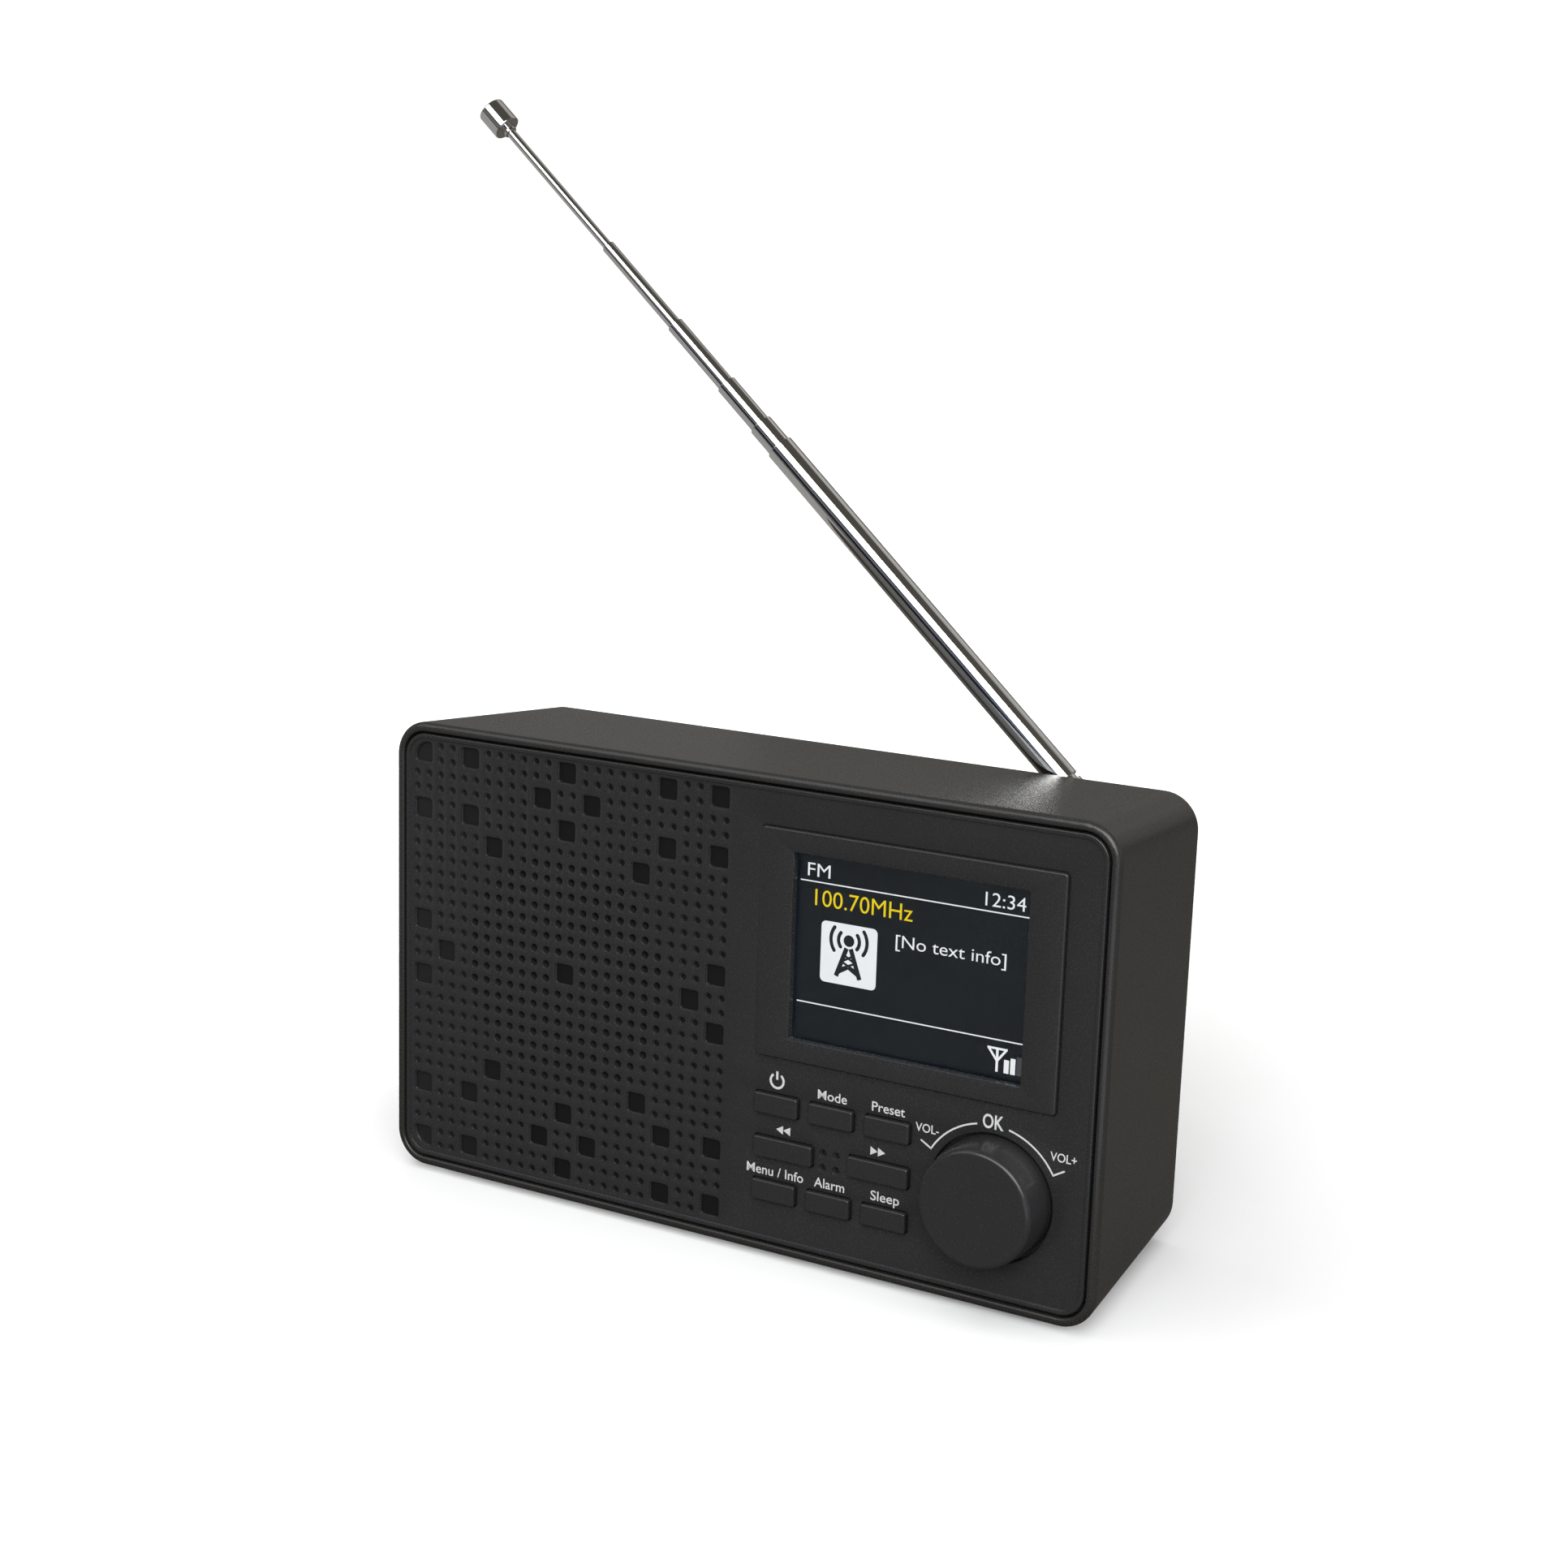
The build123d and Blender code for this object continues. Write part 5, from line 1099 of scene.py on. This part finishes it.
def matte(name, colour, glow):
    """A matte stage surface that fades to white light some way from the object, with painted light in front and a
    painted contact shadow round the base.
    """
    made = Surface(name, Specular_IOR_Level=0.0, Roughness=0.9)
    clouds = made.noise(300.0)
    made.colour(made.ramp(clouds, (0.3, scaled(colour, 0.985)), (0.7, colour)))
    distance = made.node("ShaderNodeVectorMath", operation="LENGTH")
    made.link(made.place, distance.inputs[0])
    far_glow = made.between(distance.outputs["Value"], FAR_TRACE * glow, glow, *FAR_GLOW)
    across = made.node("ShaderNodeVectorMath", operation="DOT_PRODUCT")
    across.inputs[1].default_value = FRONT_AXIS
    made.link(made.place, across.inputs[0])
    # painted light: emission that brightens the floor in front of the object
    painted_front_light = made.between(across.outputs["Value"], FRONT_STRENGTH * glow, 0.0, *FRONT_GLOW)
    # painted contact shadow: nought under the base pad, rising to one just outside it
    clear = made.between(outside(made, *FOOTPRINT), 0.0, 1.0, 0.0, PAINTED_SHADOW_WIDTH)
    total = made.node("ShaderNodeMath", operation="MULTIPLY_ADD")
    for socket, value in zip(total.inputs, (painted_front_light, clear, far_glow)):
        made.link(value, socket)
    made.link(total.outputs[0], made.shader.inputs["Emission Strength"])
    made.shader.inputs["Emission Color"].default_value = (1, 1, 1, 1)
    return made.material


def ground(name, height, colour, glow):
    corners = [(sx * FLOOR_HALF, sy * FLOOR_HALF, height) for sx, sy in CORNERS]
    return rectangle(name, corners, matte(name, colour, glow))


def floor():
    """A pale floor that the camera sees, and under it a greyer one that lights and reflects."""
    seen = ground("floor", FLOOR_SEEN, FLOOR_COLOUR, 1.0)
    seen.visible_glossy = seen.visible_diffuse = seen.visible_transmission = seen.visible_shadow = False
    lighting = ground("floor_bounce", FLOOR_BOUNCE, BOUNCE_COLOUR, 0.0)
    lighting.visible_camera = False


# what the cards reflect: (place across the card, or up it for the front card, and colour)
FRONT_COLOURS = (
    (0.0, (0.010, 0.011, 0.014)),
    (0.70, (0.014, 0.016, 0.022)),
    (0.86, (0.10, 0.13, 0.22)),
    (1.0, (0.30, 0.36, 0.50)),
)
KEY_COLOURS = (
    (0.0, (0.004, 0.004, 0.005)),
    (0.08, (0.018, 0.021, 0.026)),
    (0.19, (0.030, 0.034, 0.042)),
    (0.23, (1.0, 1.0, 1.0)),
    (0.95, (1.0, 0.99, 0.96)),
    (1.0, (0.22, 0.19, 0.13)),
)
UPPER_COLOURS = (
    (0.0, (0.2, 0.22, 0.26)),
    (0.15, (0.96, 0.98, 1.0)),
    (0.9, (0.98, 0.99, 1.0)),
    (1.0, (0.8, 0.79, 0.76)),
)
FILL_COLOURS = (
    (0.0, (0.5, 0.55, 0.6)),
    (0.25, (0.94, 0.97, 1.0)),
    (0.75, (0.94, 0.97, 1.0)),
    (1.0, (0.3, 0.32, 0.36)),
)
BACK_COLOURS = (
    (0.0, (0.25, 0.245, 0.235)),
    (0.3, (0.8, 0.79, 0.77)),
    (0.7, (1.0, 0.99, 0.97)),
    (1.0, (0.6, 0.59, 0.57)),
)
GLOW_COLOUR = (0.85, 0.92, 1.08)
LEFT_COLOUR = (0.36, 0.355, 0.35)
ROOM_COLOURS = (            # from the floor's level up to overhead
    (0.50, (0.19, 0.182, 0.17)),
    (0.62, (0.19, 0.182, 0.17)),
    (0.80, (0.085, 0.08, 0.07)),
    (1.00, (0.075, 0.07, 0.06)),
)
ROOM_AXIS = (0.0, -0.35, 1.0)
BACKGROUND = 1.05


def dark_surface(name):
    """A black surface, for a card that shows only what it gives out."""
    made = Surface(name, Specular_IOR_Level=0.0, Roughness=1.0)
    made.shader.inputs["Base Color"].default_value = (0.0, 0.0, 0.0, 1)
    return made


def mirrored(name, corners, made):
    """A rectangle that is seen only in reflections."""
    plane = rectangle(name, corners, made.material)
    plane.visible_camera = plane.visible_diffuse = plane.visible_shadow = plane.visible_transmission = False
    return plane


def card(name, low, high):
    """A dark upright card in front, with a cool upper edge."""
    made = dark_surface(name)
    made.glow(made.ramp(made.along("Z", low[2], high[2]), *FRONT_COLOURS), 1.0)
    mirrored(name, [low, (high[0], high[1], low[2]), high, (low[0], low[1], high[2])], made)


def reflector(name, azimuth, elevation, distance, width, height, strength, *stops):
    """A card that faces the object, coloured across its width."""
    made = dark_surface(name)
    made.glow(made.ramp(made.along("X", -width / 2, width / 2), *stops), strength)
    plane = mirrored(name, [(sx * width / 2, sy * height / 2, 0) for sx, sy in CORNERS], made)
    face_object(plane, azimuth, elevation, distance)


def floor_patch(name, colour, azimuths, near, far):
    """A lit sector of the floor."""
    made = dark_surface(name)
    made.glow(made.ramp(made.noise(250.0), (0.3, scaled(colour, 0.9)), (0.7, colour)), 1.0)
    first, last = azimuths
    corners = []
    for azimuth, distance in ((first, near), (first, far), (last, far), (last, near)):
        place = direction_from(azimuth, 0) * distance
        corners.append((place.x, place.y, FLOOR_PATCH))
    mirrored(name, corners, made)


def surroundings():
    """A dim warm studio round the object, with a white background behind it."""
    world = bpy.data.worlds.new("studio")
    bpy.context.scene.world = world
    world.use_nodes = True
    made = Nodes(world.node_tree)
    made.tree.nodes.clear()
    place = made.node("ShaderNodeTexCoord")
    tilted = made.node("ShaderNodeVectorMath", operation="DOT_PRODUCT")
    tilted.inputs[1].default_value = ROOM_AXIS
    made.link(place.outputs["Generated"], tilted.inputs[0])
    half = made.node("ShaderNodeMath", operation="MULTIPLY_ADD")
    half.inputs[1].default_value, half.inputs[2].default_value = 0.5, 0.5
    made.link(tilted.outputs["Value"], half.inputs[0])
    room = made.node("ShaderNodeBackground")
    made.link(made.ramp(half.outputs[0], *ROOM_COLOURS), room.inputs["Color"])
    white = made.node("ShaderNodeBackground")
    white.inputs["Color"].default_value = (1, 1, 1, 1)
    white.inputs["Strength"].default_value = BACKGROUND
    rays = made.node("ShaderNodeLightPath")
    mixed = made.node("ShaderNodeMixShader")
    made.link(rays.outputs["Is Camera Ray"], mixed.inputs[0])
    made.link(room.outputs[0], mixed.inputs[1])
    made.link(white.outputs[0], mixed.inputs[2])
    output = made.node("ShaderNodeOutputWorld")
    made.link(mixed.outputs[0], output.inputs["Surface"])


camera()
floor()
card("front_card", (-0.62, -0.7, 0.0), (0.45, -0.7, 0.22))
floor_patch("floor_glow", GLOW_COLOUR, (14, 55), 0.16, 2.5)
floor_patch("floor_left", LEFT_COLOUR, (-150, -45), 0.35, 5.0)
surroundings()
# lights and cards: azimuth, elevation, distance, width, height, brightness
softbox("key", 24, 30, 1.6, 1.5, 1.2, 5.0, (0.97, 0.985, 1.0))
reflector("key_card", 24, 30, 1.58, 1.5, 1.2, 5.0, *KEY_COLOURS)
reflector("fill_card", -48, 42, 1.6, 1.1, 1.0, 1.3, *FILL_COLOURS)
reflector("upper_card", -8, 36, 1.56, 0.78, 0.80, 4.0, *UPPER_COLOURS)
reflector("high_back_card", 178, 54, 2.0, 1.4, 0.9, 0.45, *BACK_COLOURS)
reflector("back_card", 152, 34, 2.0, 1.7, 1.4, 0.5, *BACK_COLOURS)
softbox("overhead", 0, 88, 1.3, 1.6, 1.6, 2.0)
softbox("side", 98, 20, 1.6, 1.2, 1.0, 2.5)
softbox("behind", 205, 25, 1.7, 1.2, 1.0, 0.6)
bpy.context.scene.view_settings.view_transform = "Standard"
